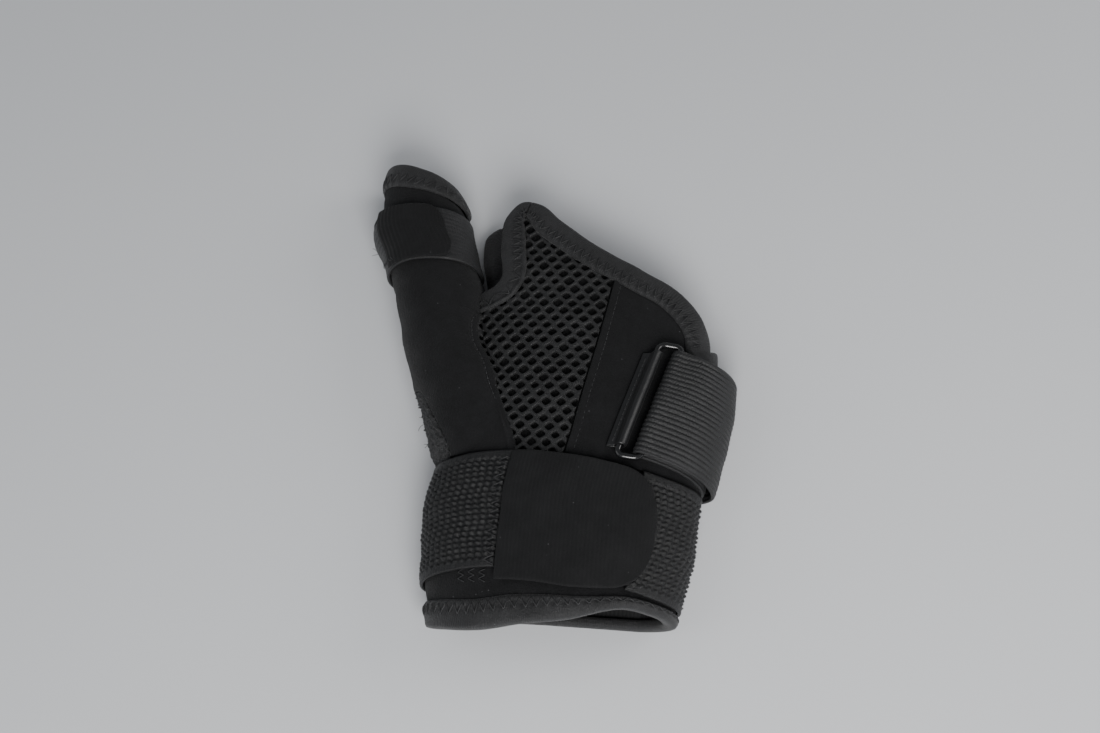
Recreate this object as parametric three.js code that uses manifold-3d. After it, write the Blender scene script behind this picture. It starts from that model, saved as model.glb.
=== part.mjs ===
// A right-side thumb spica splint, lying on a table as it keeps its form without a hand in it.
// Millimetres. +X across the wrist, +Y from the wrist to the fingers, +Z up from the table.
// Two soft tubes make the body: the hand tube, and the thumb tube that leaves its left side.
// Every panel, binding and strap is a thin solid laid on one of the two tubes.
import * as THREE from "three";
import Module from "manifold-3d";
import { mergeVertices } from "three/addons/utils/BufferGeometryUtils.js";

// Driving dimensions of the body
const HAND_LENGTH = 193; // wrist hem to the knuckle peak
const CROTCH_HEIGHT = 146; // wrist hem to the fork between thumb and hand
const THUMB_LENGTH = 62; // fork to the thumb tip
const HAND_WIDTH = 108; // hand tube, lying flat, at the wrist
const HAND_HEIGHT = 38; // hand tube at the wrist, from the table up
const THUMB_WIDTH = 40; // thumb tube, lying flat, above the fork
const THUMB_HEIGHT = 29; // thumb tube above the fork, from the table up
const WAIST_HEIGHT = 13; // height of the widest point of both tubes

// Fabric and webbing
const SHELL_WALL = 1.2; // inner shell under the panels
const BACK_WALL = 1.2; // extra thickness of the shell where no panel covers it
const PANEL_WALL = 1.2;
const BINDING_WALL = 0.9;
const STRAP_WALL = 1.6; // woven elastic
const TAB_WALL = 1.3; // hook fabric
const FABRIC_GAP = 0.5; // between two layers of fabric
const LINING_GAP = 0.8; // between the shell and the panels laid on it
const SEAM_GAP = 0.5; // between two pieces that meet edge to edge
const BINDING_WIDTH = 10;
const PANEL_TUCK = 5; // how far short of a hem the panels end inside its binding

// Straps and their fittings
const WRIST_STRAP_WIDTH = 48;
const WRIST_STRAP_SET = 45; // wrist hem to the middle of the wrist strap
const WRIST_TAB_LENGTH = 58;
const THUMB_STRAP_WIDTH = 26;
const THUMB_STRAP_SET = 22; // fork to the middle of the thumb strap
const THUMB_TAB_LENGTH = 27;
const HAND_STRAP_WIDTH = 48;
const HAND_STRAP_SET = 96; // wrist hem to the middle of the hand strap at its ring
const RING_WIRE = 2.6;
const RING_WIDTH = 8.4; // between the centres of the two long bars
const RING_CORNER = 2.6; // radius of the wire's bend
const RING_PLACE = 29.6; // middle of the wrist to the middle of the ring's outer bar
const RING_LEAN = 0.2; // how far the ring leans towards the little finger, per unit of height

// Net of the mesh panel
const NET_PITCH = 6.0; // between two holes of a row
const NET_ROW = 4.0; // between two rows
const NET_HOLE = 3.5; // across a hole
const NET_MARGIN = 1.9; // solid edge left beside the seams

// How fine the solids are
const AROUND = 28;
const THUMB_AROUND = 22;
const HOLE_SIDES = 4;
const WIRE_SIDES = 6;

// Layers, as heights above the outer face of the shell
const PANEL_LOW = LINING_GAP;
const PANEL_TOP = PANEL_LOW + PANEL_WALL;
const STRAP_LOW = PANEL_TOP + FABRIC_GAP;
const STRAP_TOP = STRAP_LOW + STRAP_WALL;
const TAB_LOW = STRAP_TOP + FABRIC_GAP;
const TAB_TOP = TAB_LOW + TAB_WALL;
const BASE = STRAP_TOP; // the straps lie on the table, and the shell this far above it

const clamp = (value, low, high) => Math.min(Math.max(value, low), high);
const lerp = (a, b, share) => a + (b - a) * share;
const ease = (share) => {
  const s = clamp(share, 0, 1);
  return s * s * (3 - 2 * s);
};

// Smooth value of one column of a table at a place along its first column. The first column rises.
function column(rows, key, name, at) {
  const last = rows.length - 1;
  const place = clamp(at, rows[0][key], rows[last][key]);
  let i = 0;
  while (i < last - 1 && rows[i + 1][key] < place) {
    i += 1;
  }
  const slope = (j) => {
    const a = rows[Math.max(j - 1, 0)];
    const b = rows[Math.min(j + 1, last)];
    return (b[name] - a[name]) / (b[key] - a[key]);
  };
  const step = rows[i + 1][key] - rows[i][key];
  const t = (place - rows[i][key]) / step;
  const rise = t * t * (3 - 2 * t);
  const start = t * (1 - t) * (1 - t) * step * slope(i);
  const end = t * t * (t - 1) * step * slope(i + 1);
  return lerp(rows[i][name], rows[i + 1][name], rise) + start + end;
}

// The same for a table whose first column goes round from 0 to 1 and meets itself.
function ringColumn(rows, key, name, at) {
  const turn = (row, shift) => ({ ...row, [key]: row[key] + shift });
  const wrapped = [
    ...rows.slice(-2).map((row) => turn(row, -1)),
    ...rows,
    ...rows.slice(0, 2).map((row) => turn(row, 1)),
  ];
  return column(wrapped, key, name, at - Math.floor(at));
}

// A soft tube lying on the table. Its sections stand upright across Y: a crowned top, rounded sides
// and an underside that is flat where it rests. Around 0 is the right side, 0.5 the left one, and
// the top lies between them; 0.5 to 1 is the underside.
const TOP_POWER = 2.3;
const UNDER_POWER = 3.2;
const UNDER_SINK = 2.5; // how far the table has pressed the underside flat
const SECTION_STEPS = 48;

class Tube {
  constructor(sectionAt) {
    this.sectionAt = sectionAt;
    this.cache = new Map();
  }

  // Points of one half of the section at y, right to left, with the length walked so far.
  half(y, isTop) {
    const key = `${y.toFixed(4)}${isTop}`;
    if (!this.cache.has(key)) {
      const { left, right, crown, base } = this.sectionAt(y);
      const middle = (left + right) / 2;
      const reach = (right - left) / 2;
      const drop = WAIST_HEIGHT - base + UNDER_SINK;
      const points = [];
      let walked = 0;
      for (let i = 0; i <= SECTION_STEPS; i += 1) {
        const angle = (Math.PI * i) / SECTION_STEPS;
        const power = isTop ? TOP_POWER : UNDER_POWER;
        const across = Math.sign(Math.cos(angle)) * Math.abs(Math.cos(angle)) ** (2 / power);
        const up = Math.sin(angle);
        const x = middle + reach * across;
        const under = Math.max(WAIST_HEIGHT - drop * up, base);
        const z = isTop ? WAIST_HEIGHT + (crown - WAIST_HEIGHT) * up : under;
        if (i > 0) {
          walked += Math.hypot(x - points[i - 1].x, z - points[i - 1].z);
        }
        points.push({ x, z, walked });
      }
      this.cache.set(key, points);
    }
    return this.cache.get(key);
  }

  // Length of the top half of the section at y.
  topLength(y) {
    return this.half(y, true)[SECTION_STEPS].walked;
  }

  // The point at a share around and a place y.
  point(around, y) {
    const turn = around - Math.floor(around);
    const isTop = turn <= 0.5;
    const points = this.half(y, isTop);
    const share = isTop ? turn * 2 : 2 - turn * 2;
    const goal = share * points[SECTION_STEPS].walked;
    let low = 0;
    let high = SECTION_STEPS;
    while (high - low > 1) {
      const middle = (low + high) >> 1;
      if (points[middle].walked <= goal) {
        low = middle;
      } else {
        high = middle;
      }
    }
    const a = points[low];
    const b = points[high];
    const t = (goal - a.walked) / (b.walked - a.walked || 1);
    return new THREE.Vector3(lerp(a.x, b.x, t), y, lerp(a.z, b.z, t));
  }

  // The direction that faces out of the tube at a share around and a place y.
  normal(around, y) {
    const du = 0.012;
    const dy = 1.5;
    const across = this.point(around + du, y).sub(this.point(around - du, y));
    const along = this.point(around, y + dy).sub(this.point(around, y - dy));
    return along.cross(across).normalize();
  }

  // The share around where the top, or the underside, has the place x.
  around(x, y, isTop = true) {
    const points = this.half(y, isTop);
    let low = 0;
    let high = SECTION_STEPS;
    while (high - low > 1) {
      const middle = (low + high) >> 1;
      if (points[middle].x >= x) {
        low = middle;
      } else {
        high = middle;
      }
    }
    const a = points[low];
    const b = points[high];
    const t = clamp((a.x - x) / (a.x - b.x || 1), 0, 1);
    const share = lerp(a.walked, b.walked, t) / points[SECTION_STEPS].walked / 2;
    return isTop ? share : 1 - share;
  }

  // Height of the top at a place x, or nothing beside the tube.
  topHeight(x, y) {
    const { left, right, crown } = this.sectionAt(y);
    const share = Math.abs((x - (left + right) / 2) / ((right - left) / 2));
    if (share >= 1) {
      return 0;
    }
    return WAIST_HEIGHT + (crown - WAIST_HEIGHT) * Math.sqrt(1 - share ** TOP_POWER);
  }
}

// Hand tube. Along is a share of the hand's length; left and right are shares of its width from the
// wrist's middle, crown is a share of its height, and base a share of the straps' thickness.
const HAND_SECTIONS = [
  { along: -0.06, left: -0.355, right: 0.445, crown: 0.95, base: 1 },
  { along: 0.0, left: -0.375, right: 0.455, crown: 0.965, base: 1 },
  { along: 0.09, left: -0.415, right: 0.475, crown: 0.985, base: 1 },
  { along: 0.19, left: -0.442, right: 0.495, crown: 1.0, base: 1 },
  { along: 0.27, left: -0.456, right: 0.502, crown: 1.0, base: 1 },
  { along: 0.34, left: -0.446, right: 0.508, crown: 0.985, base: 1 },
  { along: 0.45, left: -0.44, right: 0.526, crown: 0.94, base: 1 },
  { along: 0.55, left: -0.436, right: 0.528, crown: 0.87, base: 1 },
  { along: 0.65, left: -0.432, right: 0.512, crown: 0.8, base: 0.97 },
  { along: 0.76, left: -0.425, right: 0.494, crown: 0.72, base: 0.94 },
  { along: 0.89, left: -0.445, right: 0.485, crown: 0.65, base: 0.9 },
  { along: 1.03, left: -0.47, right: 0.455, crown: 0.6, base: 0.9 },
];

const hand = new Tube((y) => {
  const at = (name) => column(HAND_SECTIONS, "along", name, y / HAND_LENGTH);
  return {
    left: at("left") * HAND_WIDTH,
    right: at("right") * HAND_WIDTH,
    crown: at("crown") * HAND_HEIGHT,
    base: at("base") * BASE,
  };
});

// Thumb tube. Along is a share of the fork's height below 1, and 1 more than a share of the thumb's
// length above it. Side is the side towards the hand, a share of the hand's width; wide is a share
// of the thumb's width, crown of its height.
const THUMB_SECTIONS = [
  { along: 0.36, side: -0.13, wide: 0.7, crown: 0.84, base: 1.6 },
  { along: 0.44, side: -0.1, wide: 0.88, crown: 0.98, base: 1.45 },
  { along: 0.5, side: -0.085, wide: 1.105, crown: 1.08, base: 1.15 },
  { along: 0.55, side: -0.09, wide: 1.15, crown: 1.13, base: 1.1 },
  { along: 0.665, side: -0.16, wide: 1.15, crown: 1.16, base: 1.1 },
  { along: 0.83, side: -0.345, wide: 0.92, crown: 1.1, base: 1.1 },
  { along: 0.92, side: -0.39, wide: 0.9, crown: 1.06, base: 1.1 },
  { along: 1.0, side: -0.42, wide: 0.925, crown: 1.03, base: 1.05 },
  { along: 1.22, side: -0.48, wide: 0.9, crown: 1.0, base: 1 },
  { along: 1.45, side: -0.533, wide: 0.965, crown: 0.97, base: 1 },
  { along: 1.7, side: -0.578, wide: 0.85, crown: 0.93, base: 0.96 },
  { along: 2.08, side: -0.665, wide: 0.63, crown: 0.86, base: 0.92 },
];

const thumbPlace = (along) => Math.min(along, 1) * CROTCH_HEIGHT + Math.max(along - 1, 0) * THUMB_LENGTH;
const thumbShare = (y) => (y < CROTCH_HEIGHT ? y / CROTCH_HEIGHT : 1 + (y - CROTCH_HEIGHT) / THUMB_LENGTH);

const thumb = new Tube((y) => {
  const at = (name) => column(THUMB_SECTIONS, "along", name, thumbShare(y));
  const right = at("side") * HAND_WIDTH;
  return {
    left: right - at("wide") * THUMB_WIDTH,
    right,
    crown: at("crown") * THUMB_HEIGHT,
    base: at("base") * BASE,
  };
});

// Height of the body's top where the two tubes run into each other, with the crease rounded.
const CREASE_ROUND = 2.5;
const CREASE_END = 0.8; // share of the fork's height where the rounding fades
function bodyTop(x, y) {
  const a = hand.topHeight(x, y);
  const b = thumb.topHeight(x, y);
  if (y < thumbPlace(THUMB_SECTIONS[0].along) || y > CROTCH_HEIGHT || a === 0 || b === 0) {
    return Math.max(a, b);
  }
  const mix = Math.max(CREASE_ROUND - Math.abs(a - b), 0) / CREASE_ROUND;
  const fade = 1 - ease((y / CROTCH_HEIGHT - CREASE_END) / 0.1);
  return Math.max(a, b) + fade * mix * mix * CREASE_ROUND * 0.25;
}

// A point of one tube's outside, raised where the other tube's top stands higher.
function bodyPoint(tube, around, y) {
  const p = tube.point(around, y);
  if (around > 0 && around < 0.5) {
    p.z = Math.max(p.z, bodyTop(p.x, y));
  }
  return p;
}

// Hems. The wrist's and the thumb's are places along the tube for a share around it.
const WRIST_HEM = [
  { around: 0.0, along: 0.066 },
  { around: 0.06, along: 0.068 },
  { around: 0.12, along: 0.065 },
  { around: 0.2, along: 0.03 },
  { around: 0.28, along: 0.01 },
  { around: 0.36, along: -0.008 },
  { around: 0.44, along: -0.004 },
  { around: 0.5, along: 0.012 },
  { around: 0.57, along: 0.04 },
  { around: 0.68, along: 0.052 },
  { around: 0.84, along: 0.06 },
];
const THUMB_HEM = [
  { around: 0.0, along: 0.77 },
  { around: 0.1, along: 0.82 },
  { around: 0.25, along: 0.905 },
  { around: 0.4, along: 0.955 },
  { around: 0.5, along: 0.95 },
  { around: 0.6, along: 0.94 },
  { around: 0.75, along: 0.89 },
  { around: 0.9, along: 0.8 },
];
const wristHem = (around) => ringColumn(WRIST_HEM, "around", "along", around) * HAND_LENGTH;
const thumbHem = (around) => CROTCH_HEIGHT + ringColumn(THUMB_HEM, "around", "along", around) * THUMB_LENGTH;

// The finger hem runs from the right side over the knuckles to the peak, down the web to the fork,
// and back along the underside. Across is a share of the hand's width, along of its length.
const FINGER_HEM = [
  { face: "top", across: 0.492, along: 0.65 },
  { face: "top", across: 0.48, along: 0.688 },
  { face: "top", across: 0.445, along: 0.73 },
  { face: "top", across: 0.37, along: 0.775 },
  { face: "top", across: 0.21, along: 0.822 },
  { face: "top", across: 0.04, along: 0.87 },
  { face: "top", across: -0.14, along: 0.94 },
  { face: "top", across: -0.225, along: 0.978 },
  { face: "top", across: -0.3, along: 0.985 },
  { face: "top", across: -0.35, along: 0.945 },
  { face: "top", across: -0.345, along: 0.87 },
  { face: "top", across: -0.322, along: 0.79 },
  { face: "top", across: -0.355, along: 0.762 },
  { face: "under", across: -0.424, along: 0.758 },
  { face: "under", across: -0.4, along: 0.79 },
  { face: "under", across: -0.43, along: 0.87 },
  { face: "under", across: -0.435, along: 0.94 },
  { face: "under", across: -0.37, along: 0.975 },
  { face: "under", across: -0.27, along: 0.962 },
  { face: "under", across: -0.12, along: 0.905 },
  { face: "under", across: 0.05, along: 0.84 },
  { face: "under", across: 0.22, along: 0.79 },
  { face: "under", across: 0.38, along: 0.74 },
  { face: "under", across: 0.46, along: 0.69 },
];

const FINGER_HEM_KNOTS = FINGER_HEM.map(({ face, across, along }) => {
  const y = along * HAND_LENGTH;
  const around = hand.around(across * HAND_WIDTH, y, face === "top");
  return new THREE.Vector3(around, along, 0);
});
const FINGER_HEM_CURVE = new THREE.CatmullRomCurve3(FINGER_HEM_KNOTS, false, "centripetal");

// The finger hem from 0 at the right side to 1 back at it, as a share around and a place y.
function fingerHem(share) {
  const knots = FINGER_HEM_KNOTS.length;
  const turn = share - Math.floor(share);
  const first = FINGER_HEM_KNOTS[0];
  const last = (knots - 1) / knots;
  if (turn <= last) {
    const p = FINGER_HEM_CURVE.getPoint(turn / last);
    return { around: p.x, y: p.y * HAND_LENGTH };
  }
  const t = (turn - last) / (1 - last);
  const from = FINGER_HEM_KNOTS[knots - 1];
  return { around: lerp(from.x, 1 + first.x, t), y: lerp(from.y, first.y, t) * HAND_LENGTH };
}

// A named mesh of plain triangles.
const model = new THREE.Group();
const LOOKS = {
  lining: { color: 0x1f1f22, roughness: 0.95 },
  loop: { color: 0x2a2a2d, roughness: 0.96 },
  mesh: { color: 0x242427, roughness: 0.9 },
  binding: { color: 0x313137, roughness: 0.85 },
  elastic: { color: 0x333337, roughness: 0.9 },
  hook: { color: 0x28282b, roughness: 0.8 },
  wire: { color: 0x16161a, roughness: 0.25, metalness: 0.6 },
};

function addPiece(name, geometry, look) {
  const mesh = new THREE.Mesh(geometry, new THREE.MeshStandardMaterial(LOOKS[look]));
  mesh.name = name;
  model.add(mesh);
  return mesh;
}

// Geometry from points and triangles, turned so that its faces point out.
function geometryOf(points, triangles) {
  let volume = 0;
  const side = new THREE.Vector3();
  for (const [a, b, c] of triangles) {
    volume += points[a].dot(side.crossVectors(points[b], points[c]));
  }
  const index = triangles.flatMap(([a, b, c]) => (volume < 0 ? [a, c, b] : [a, b, c]));
  const geometry = new THREE.BufferGeometry();
  geometry.setAttribute("position", new THREE.Float32BufferAttribute(points.flatMap((p) => p.toArray()), 3));
  geometry.setIndex(index);
  return geometry;
}

// Joins closed rings of points into one solid. A closed row of rings meets itself, and an open one is
// shut at both ends with the triangles of cap.
function skinRings(rings, isClosed, cap) {
  const size = rings[0].length;
  const triangles = [];
  const spans = isClosed ? rings.length : rings.length - 1;
  for (let i = 0; i < spans; i += 1) {
    const here = i * size;
    const next = ((i + 1) % rings.length) * size;
    for (let j = 0; j < size; j += 1) {
      const k = (j + 1) % size;
      triangles.push([here + j, next + j, next + k], [here + j, next + k, here + k]);
    }
  }
  if (!isClosed) {
    const end = (rings.length - 1) * size;
    for (const [a, b, c] of cap) {
      triangles.push([a, b, c], [end + a, end + c, end + b]);
    }
  }
  return geometryOf(rings.flat(), triangles);
}

// Shares around a tube where the solids have their edges, closer together at its rounded sides. Every
// layer uses the same shares, so that the flats of two layers lie side by side.
const SIDE_CROWDING = 0.035;
function gridShare(k, count) {
  return k / count - SIDE_CROWDING * Math.sin((4 * Math.PI * k) / count);
}

// The shares of the grid from one share to another, with both ends.
function sharesBetween(from, to, count = AROUND) {
  const low = Math.min(from, to);
  const high = Math.max(from, to);
  const least = 0.3 / count;
  const inside = [];
  for (let k = Math.floor(low * count) - 2; k <= Math.ceil(high * count) + 2; k += 1) {
    const share = gridShare(k, count);
    if (share > low + least && share < high - least) {
      inside.push(share);
    }
  }
  const shares = [low, ...inside, high];
  return from < to ? shares : shares.reverse();
}

const wholeRing = (count) => Array.from({ length: count }, (_, k) => gridShare(k, count));
const evenly = (count) => Array.from({ length: count + 1 }, (_, k) => k / count);

// A layer of fabric laid over a surface. The surface gives a point for a value across, one of columns,
// and a share along. Low and high give the layer's two faces as heights above it. A rightward layer is
// one whose columns run towards the right.
function layer({ surface, low, high, columns, rows, isRing = false, isRightward = false }) {
  const step = 0.004;
  const turn = isRightward ? -1 : 1;
  const least = Math.min(columns[0], columns[columns.length - 1]);
  const most = Math.max(columns[0], columns[columns.length - 1]);
  const keep = (s) => (isRing ? s : clamp(s, least, most));
  const valueOf = (value, s, t) => (typeof value === "function" ? value(s, t) : value);
  const facing = (s, t) => {
    const sideways = surface(keep(s + step), t).sub(surface(keep(s - step), t));
    const forwards = surface(s, Math.min(t + step, 1)).sub(surface(s, Math.max(t - step, 0)));
    return forwards.cross(sideways).normalize().multiplyScalar(turn);
  };
  const rings = columns.map((s) => {
    const outer = [];
    const inner = [];
    for (let j = 0; j <= rows; j += 1) {
      const t = j / rows;
      const p = surface(s, t);
      const n = facing(s, t);
      outer.push(p.clone().addScaledVector(n, valueOf(high, s, t)));
      inner.push(p.clone().addScaledVector(n, valueOf(low, s, t)));
    }
    return [...outer, ...inner.reverse()];
  });
  const size = rings[0].length;
  const cap = [];
  for (let j = 0; j < rows; j += 1) {
    cap.push([j, j + 1, size - 2 - j], [j, size - 2 - j, size - 1 - j]);
  }
  return skinRings(rings, isRing, cap);
}

// The room inside or around a tube, shut at both ends, used only to cut other pieces.
function plug(tube, height, from, to) {
  const steps = 16;
  const points = [];
  for (let j = 0; j <= steps; j += 1) {
    const y = lerp(from, to, j / steps);
    for (let i = 0; i < AROUND; i += 1) {
      const around = gridShare(i, AROUND);
      points.push(tube.point(around, y).addScaledVector(tube.normal(around, y), height));
    }
  }
  const triangles = [];
  for (let j = 0; j < steps; j += 1) {
    for (let i = 0; i < AROUND; i += 1) {
      const a = j * AROUND + i;
      const b = j * AROUND + ((i + 1) % AROUND);
      triangles.push([a, a + AROUND, b + AROUND], [a, b + AROUND, b]);
    }
  }
  for (const row of [0, steps]) {
    const centre = points.length;
    const middle = new THREE.Vector3();
    for (let i = 0; i < AROUND; i += 1) {
      middle.add(points[row * AROUND + i]);
    }
    points.push(middle.divideScalar(AROUND));
    for (let i = 0; i < AROUND; i += 1) {
      const a = row * AROUND + i;
      const b = row * AROUND + ((i + 1) % AROUND);
      triangles.push(row === 0 ? [centre, a, b] : [centre, b, a]);
    }
  }
  return geometryOf(points, triangles);
}

// Booleans
const wasm = await Module();
wasm.setup();

function toSolid(geometry) {
  const bare = geometry.clone();
  bare.deleteAttribute("normal");
  bare.deleteAttribute("uv");
  const merged = mergeVertices(bare, 1e-4);
  return new wasm.Manifold(
    new wasm.Mesh({
      numProp: 3,
      vertProperties: new Float32Array(merged.attributes.position.array),
      triVerts: new Uint32Array(merged.index.array),
    }),
  );
}

function toGeometry(solid) {
  const mesh = solid.getMesh();
  const geometry = new THREE.BufferGeometry();
  geometry.setAttribute("position", new THREE.Float32BufferAttribute(mesh.vertProperties, 3));
  geometry.setIndex(Array.from(mesh.triVerts));
  return geometry;
}

// The largest body of a solid, without the offcuts
function largest(solid) {
  const bodies = solid.decompose();
  return bodies.reduce((best, body) => (body.volume() > best.volume() ? body : best));
}

// The inner shell: both tubes, open into each other and at the three hems. No panel covers its
// underside, so the wall is thicker there.
const COVER_RIGHT = -0.06; // where the panels end under the right side
const COVER_LEFT = 0.56; // and under the left side
const COVER_FADE = 0.04;
function shellOutside(around) {
  const turn = around - Math.floor(around);
  const pastLeft = ease((turn - COVER_LEFT - 0.01) / COVER_FADE);
  const pastRight = ease((1 + COVER_RIGHT - 0.01 - turn) / COVER_FADE);
  return BACK_WALL * Math.min(pastLeft, pastRight);
}

// The walls of both tubes, thickened on each face by a margin
const HAND_ROWS = 9;
const THUMB_ROWS = 12;
const THUMB_START = thumbPlace(THUMB_SECTIONS[0].along);
function bodyWalls(margin) {
  const shape = { low: -SHELL_WALL - margin, high: (s) => shellOutside(s) + margin, isRing: true };
  const handWall = layer({
    ...shape,
    surface: (s, t) => hand.point(s, lerp(wristHem(s), HAND_LENGTH * 1.02, t)),
    columns: wholeRing(AROUND),
    rows: HAND_ROWS,
  });
  const thumbWall = layer({
    ...shape,
    surface: (s, t) => thumb.point(s, lerp(THUMB_START, thumbHem(s), t)),
    columns: wholeRing(THUMB_AROUND),
    rows: THUMB_ROWS,
  });
  return [toSolid(handWall), toSolid(thumbWall)];
}

const ROOM_SHORT = 3; // how far below the fork the hand tube's room ends
function makeShell() {
  const [handWall, thumbWall] = bodyWalls(0);
  const handRoom = toSolid(plug(hand, -SHELL_WALL, HAND_LENGTH * 0.1, CROTCH_HEIGHT - ROOM_SHORT));
  const thumbRoom = toSolid(plug(thumb, -SHELL_WALL, THUMB_START, CROTCH_HEIGHT + THUMB_LENGTH * 0.9));
  const hemmed = largest(handWall.subtract(fingerKerf()));
  return toGeometry(largest(hemmed.subtract(thumbRoom).add(thumbWall.subtract(handRoom))));
}

// A piece cut back wherever it comes closer to the walls than a thread's width
const CLOSEST = 0.3;
function clearOfBody(solid) {
  const [handWall, thumbWall] = bodyWalls(CLOSEST);
  const hemmed = largest(handWall.subtract(fingerKerf()));
  return largest(solid.subtract(hemmed).subtract(thumbWall));
}

// Place of the wrist strap's middle for a share around the hand tube. Shift is a share of its width.
const WRIST_STRAP_SWAY = [
  { around: 0.0, shift: -0.08 },
  { around: 0.06, shift: -0.08 },
  { around: 0.12, shift: -0.06 },
  { around: 0.2, shift: -0.015 },
  { around: 0.28, shift: 0.0 },
  { around: 0.36, shift: -0.02 },
  { around: 0.44, shift: -0.06 },
  { around: 0.5, shift: -0.09 },
  { around: 0.57, shift: -0.1 },
  { around: 0.75, shift: -0.1 },
  { around: 0.9, shift: -0.09 },
];
const wristStrapMiddle = (around) =>
  WRIST_STRAP_SET + ringColumn(WRIST_STRAP_SWAY, "around", "shift", around) * WRIST_STRAP_WIDTH;
const wristStrapTop = (around) => wristStrapMiddle(around) + WRIST_STRAP_WIDTH / 2;

// Seams between the panels on top. Along is a share of the hand's length; the others are shares of
// its width: the edge of the thumb panel, and the edge of the palm panel.
const PANEL_SEAMS = [
  { along: 0.3, thumb: -0.105, palm: 0.04 },
  { along: 0.37, thumb: -0.135, palm: 0.047 },
  { along: 0.425, thumb: -0.176, palm: 0.059 },
  { along: 0.5, thumb: -0.25, palm: 0.072 },
  { along: 0.56, thumb: -0.306, palm: 0.083 },
  { along: 0.625, thumb: -0.38, palm: 0.096 },
  { along: 0.69, thumb: -0.4, palm: 0.106 },
  { along: 0.74, thumb: -0.345, palm: 0.114 },
  { along: 0.79, thumb: -0.33, palm: 0.121 },
  { along: 1.0, thumb: -0.33, palm: 0.15 },
];
const thumbSeam = (y) => column(PANEL_SEAMS, "along", "thumb", y / HAND_LENGTH) * HAND_WIDTH;
const palmSeam = (y) => column(PANEL_SEAMS, "along", "palm", y / HAND_LENGTH) * HAND_WIDTH;

// The outer edge of the thumb panel, where the side mesh shows beside it. Across is a share of the
// hand's width, along of the fork's height.
const STRIP_SEAM = [
  { along: 0.43, across: -0.39 },
  { along: 0.49, across: -0.4 },
  { along: 0.53, across: -0.43 },
  { along: 0.58, across: -0.475 },
  { along: 0.65, across: -0.545 },
  { along: 0.72, across: -0.62 },
];
const STRIP_END = 0.73; // share of the fork's height where the strip runs out under the side
const STRIP_FADE = 0.07;
const STRIP_START = 2; // more room above the wrist strap than the other panels leave
const STRIP_PART = 0.036; // share around between the thumb panel and the strip
const STRIP_THIN = 0.004; // least share around that the strip keeps

const PANEL_START = 0.6; // above the wrist strap's edge
const MIDDLE_LEFT = 0.36; // a share around the hand tube, under the thumb panel

// Share around the thumb tube of the thumb panel's edge towards the hand
const THUMB_SEAM_SIDE = -0.03;
function thumbPanelInner(y) {
  const share = y / CROTCH_HEIGHT;
  const seam = thumb.around(thumbSeam(y) - SEAM_GAP, y);
  return lerp(seam, THUMB_SEAM_SIDE, ease((share - 0.92) / 0.07));
}

// Share around the thumb tube of its other edge
function thumbPanelOuter(y) {
  const share = y / CROTCH_HEIGHT;
  const seam = thumb.around(column(STRIP_SEAM, "along", "across", share) * HAND_WIDTH, y);
  return lerp(seam, COVER_LEFT, ease((share - STRIP_END + STRIP_FADE) / STRIP_FADE));
}

// The thumb panel as a layer between two heights, widened towards the hand by a margin
function thumbPanelLayer(margin, lowest, highest) {
  const low = wristStrapTop(MIDDLE_LEFT) + PANEL_START;
  const place = (s, t) => {
    const share = (s - THUMB_SEAM_SIDE) / (COVER_LEFT - THUMB_SEAM_SIDE);
    let y = lerp(low, CROTCH_HEIGHT + THUMB_LENGTH, t);
    let around = 0;
    // The ends lie along a slanted hem, so the place and the share around are found in turns
    for (let turn = 0; turn < 3; turn += 1) {
      const inner = thumbPanelInner(y) - (margin * 0.5) / thumb.topLength(y);
      around = lerp(inner, thumbPanelOuter(y), share);
      y = lerp(low, thumbHem(around) - BINDING_WIDTH * 0.8, t);
    }
    return bodyPoint(thumb, around, y);
  };
  const columns = sharesBetween(THUMB_SEAM_SIDE, COVER_LEFT, THUMB_AROUND);
  return toSolid(layer({ surface: place, low: lowest, high: highest, columns, rows: 12 }));
}

function makeThumbPanel() {
  const handBody = toSolid(plug(hand, 0, HAND_LENGTH * 0.3, HAND_LENGTH));
  return toGeometry(clearOfBody(thumbPanelLayer(0, PANEL_LOW, PANEL_TOP).subtract(handBody)));
}

// The room that the thumb tube takes with its panel, from a little below the fork upwards
const THUMB_ROOM_START = 0.86; // share of the fork's height
const thumbWithPanel = () =>
  plug(thumb, PANEL_TOP + FABRIC_GAP, THUMB_ROOM_START * CROTCH_HEIGHT, CROTCH_HEIGHT + THUMB_LENGTH);

function makeSideMesh() {
  const low = wristStrapTop(0.5) + PANEL_START + STRIP_START;
  const high = CROTCH_HEIGHT * STRIP_END;
  const place = (s, t) => {
    const y = lerp(low, high, t);
    const start = thumbPanelOuter(y) + STRIP_PART;
    return bodyPoint(thumb, lerp(start, Math.max(COVER_LEFT, start + STRIP_THIN), s), y);
  };
  return layer({ surface: place, low: PANEL_LOW, high: PANEL_TOP, columns: evenly(4), rows: 7 });
}

const STRAP_COVER = 4; // how far the wrist strap reaches above the panel under it
function makeWristPanel() {
  const place = (s, t) => {
    return hand.point(s, lerp(wristHem(s) + FABRIC_GAP, wristStrapTop(s) - STRAP_COVER, t));
  };
  const columns = sharesBetween(COVER_RIGHT, COVER_LEFT);
  return layer({ surface: place, low: PANEL_LOW, high: PANEL_TOP, columns, rows: 4 });
}

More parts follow.
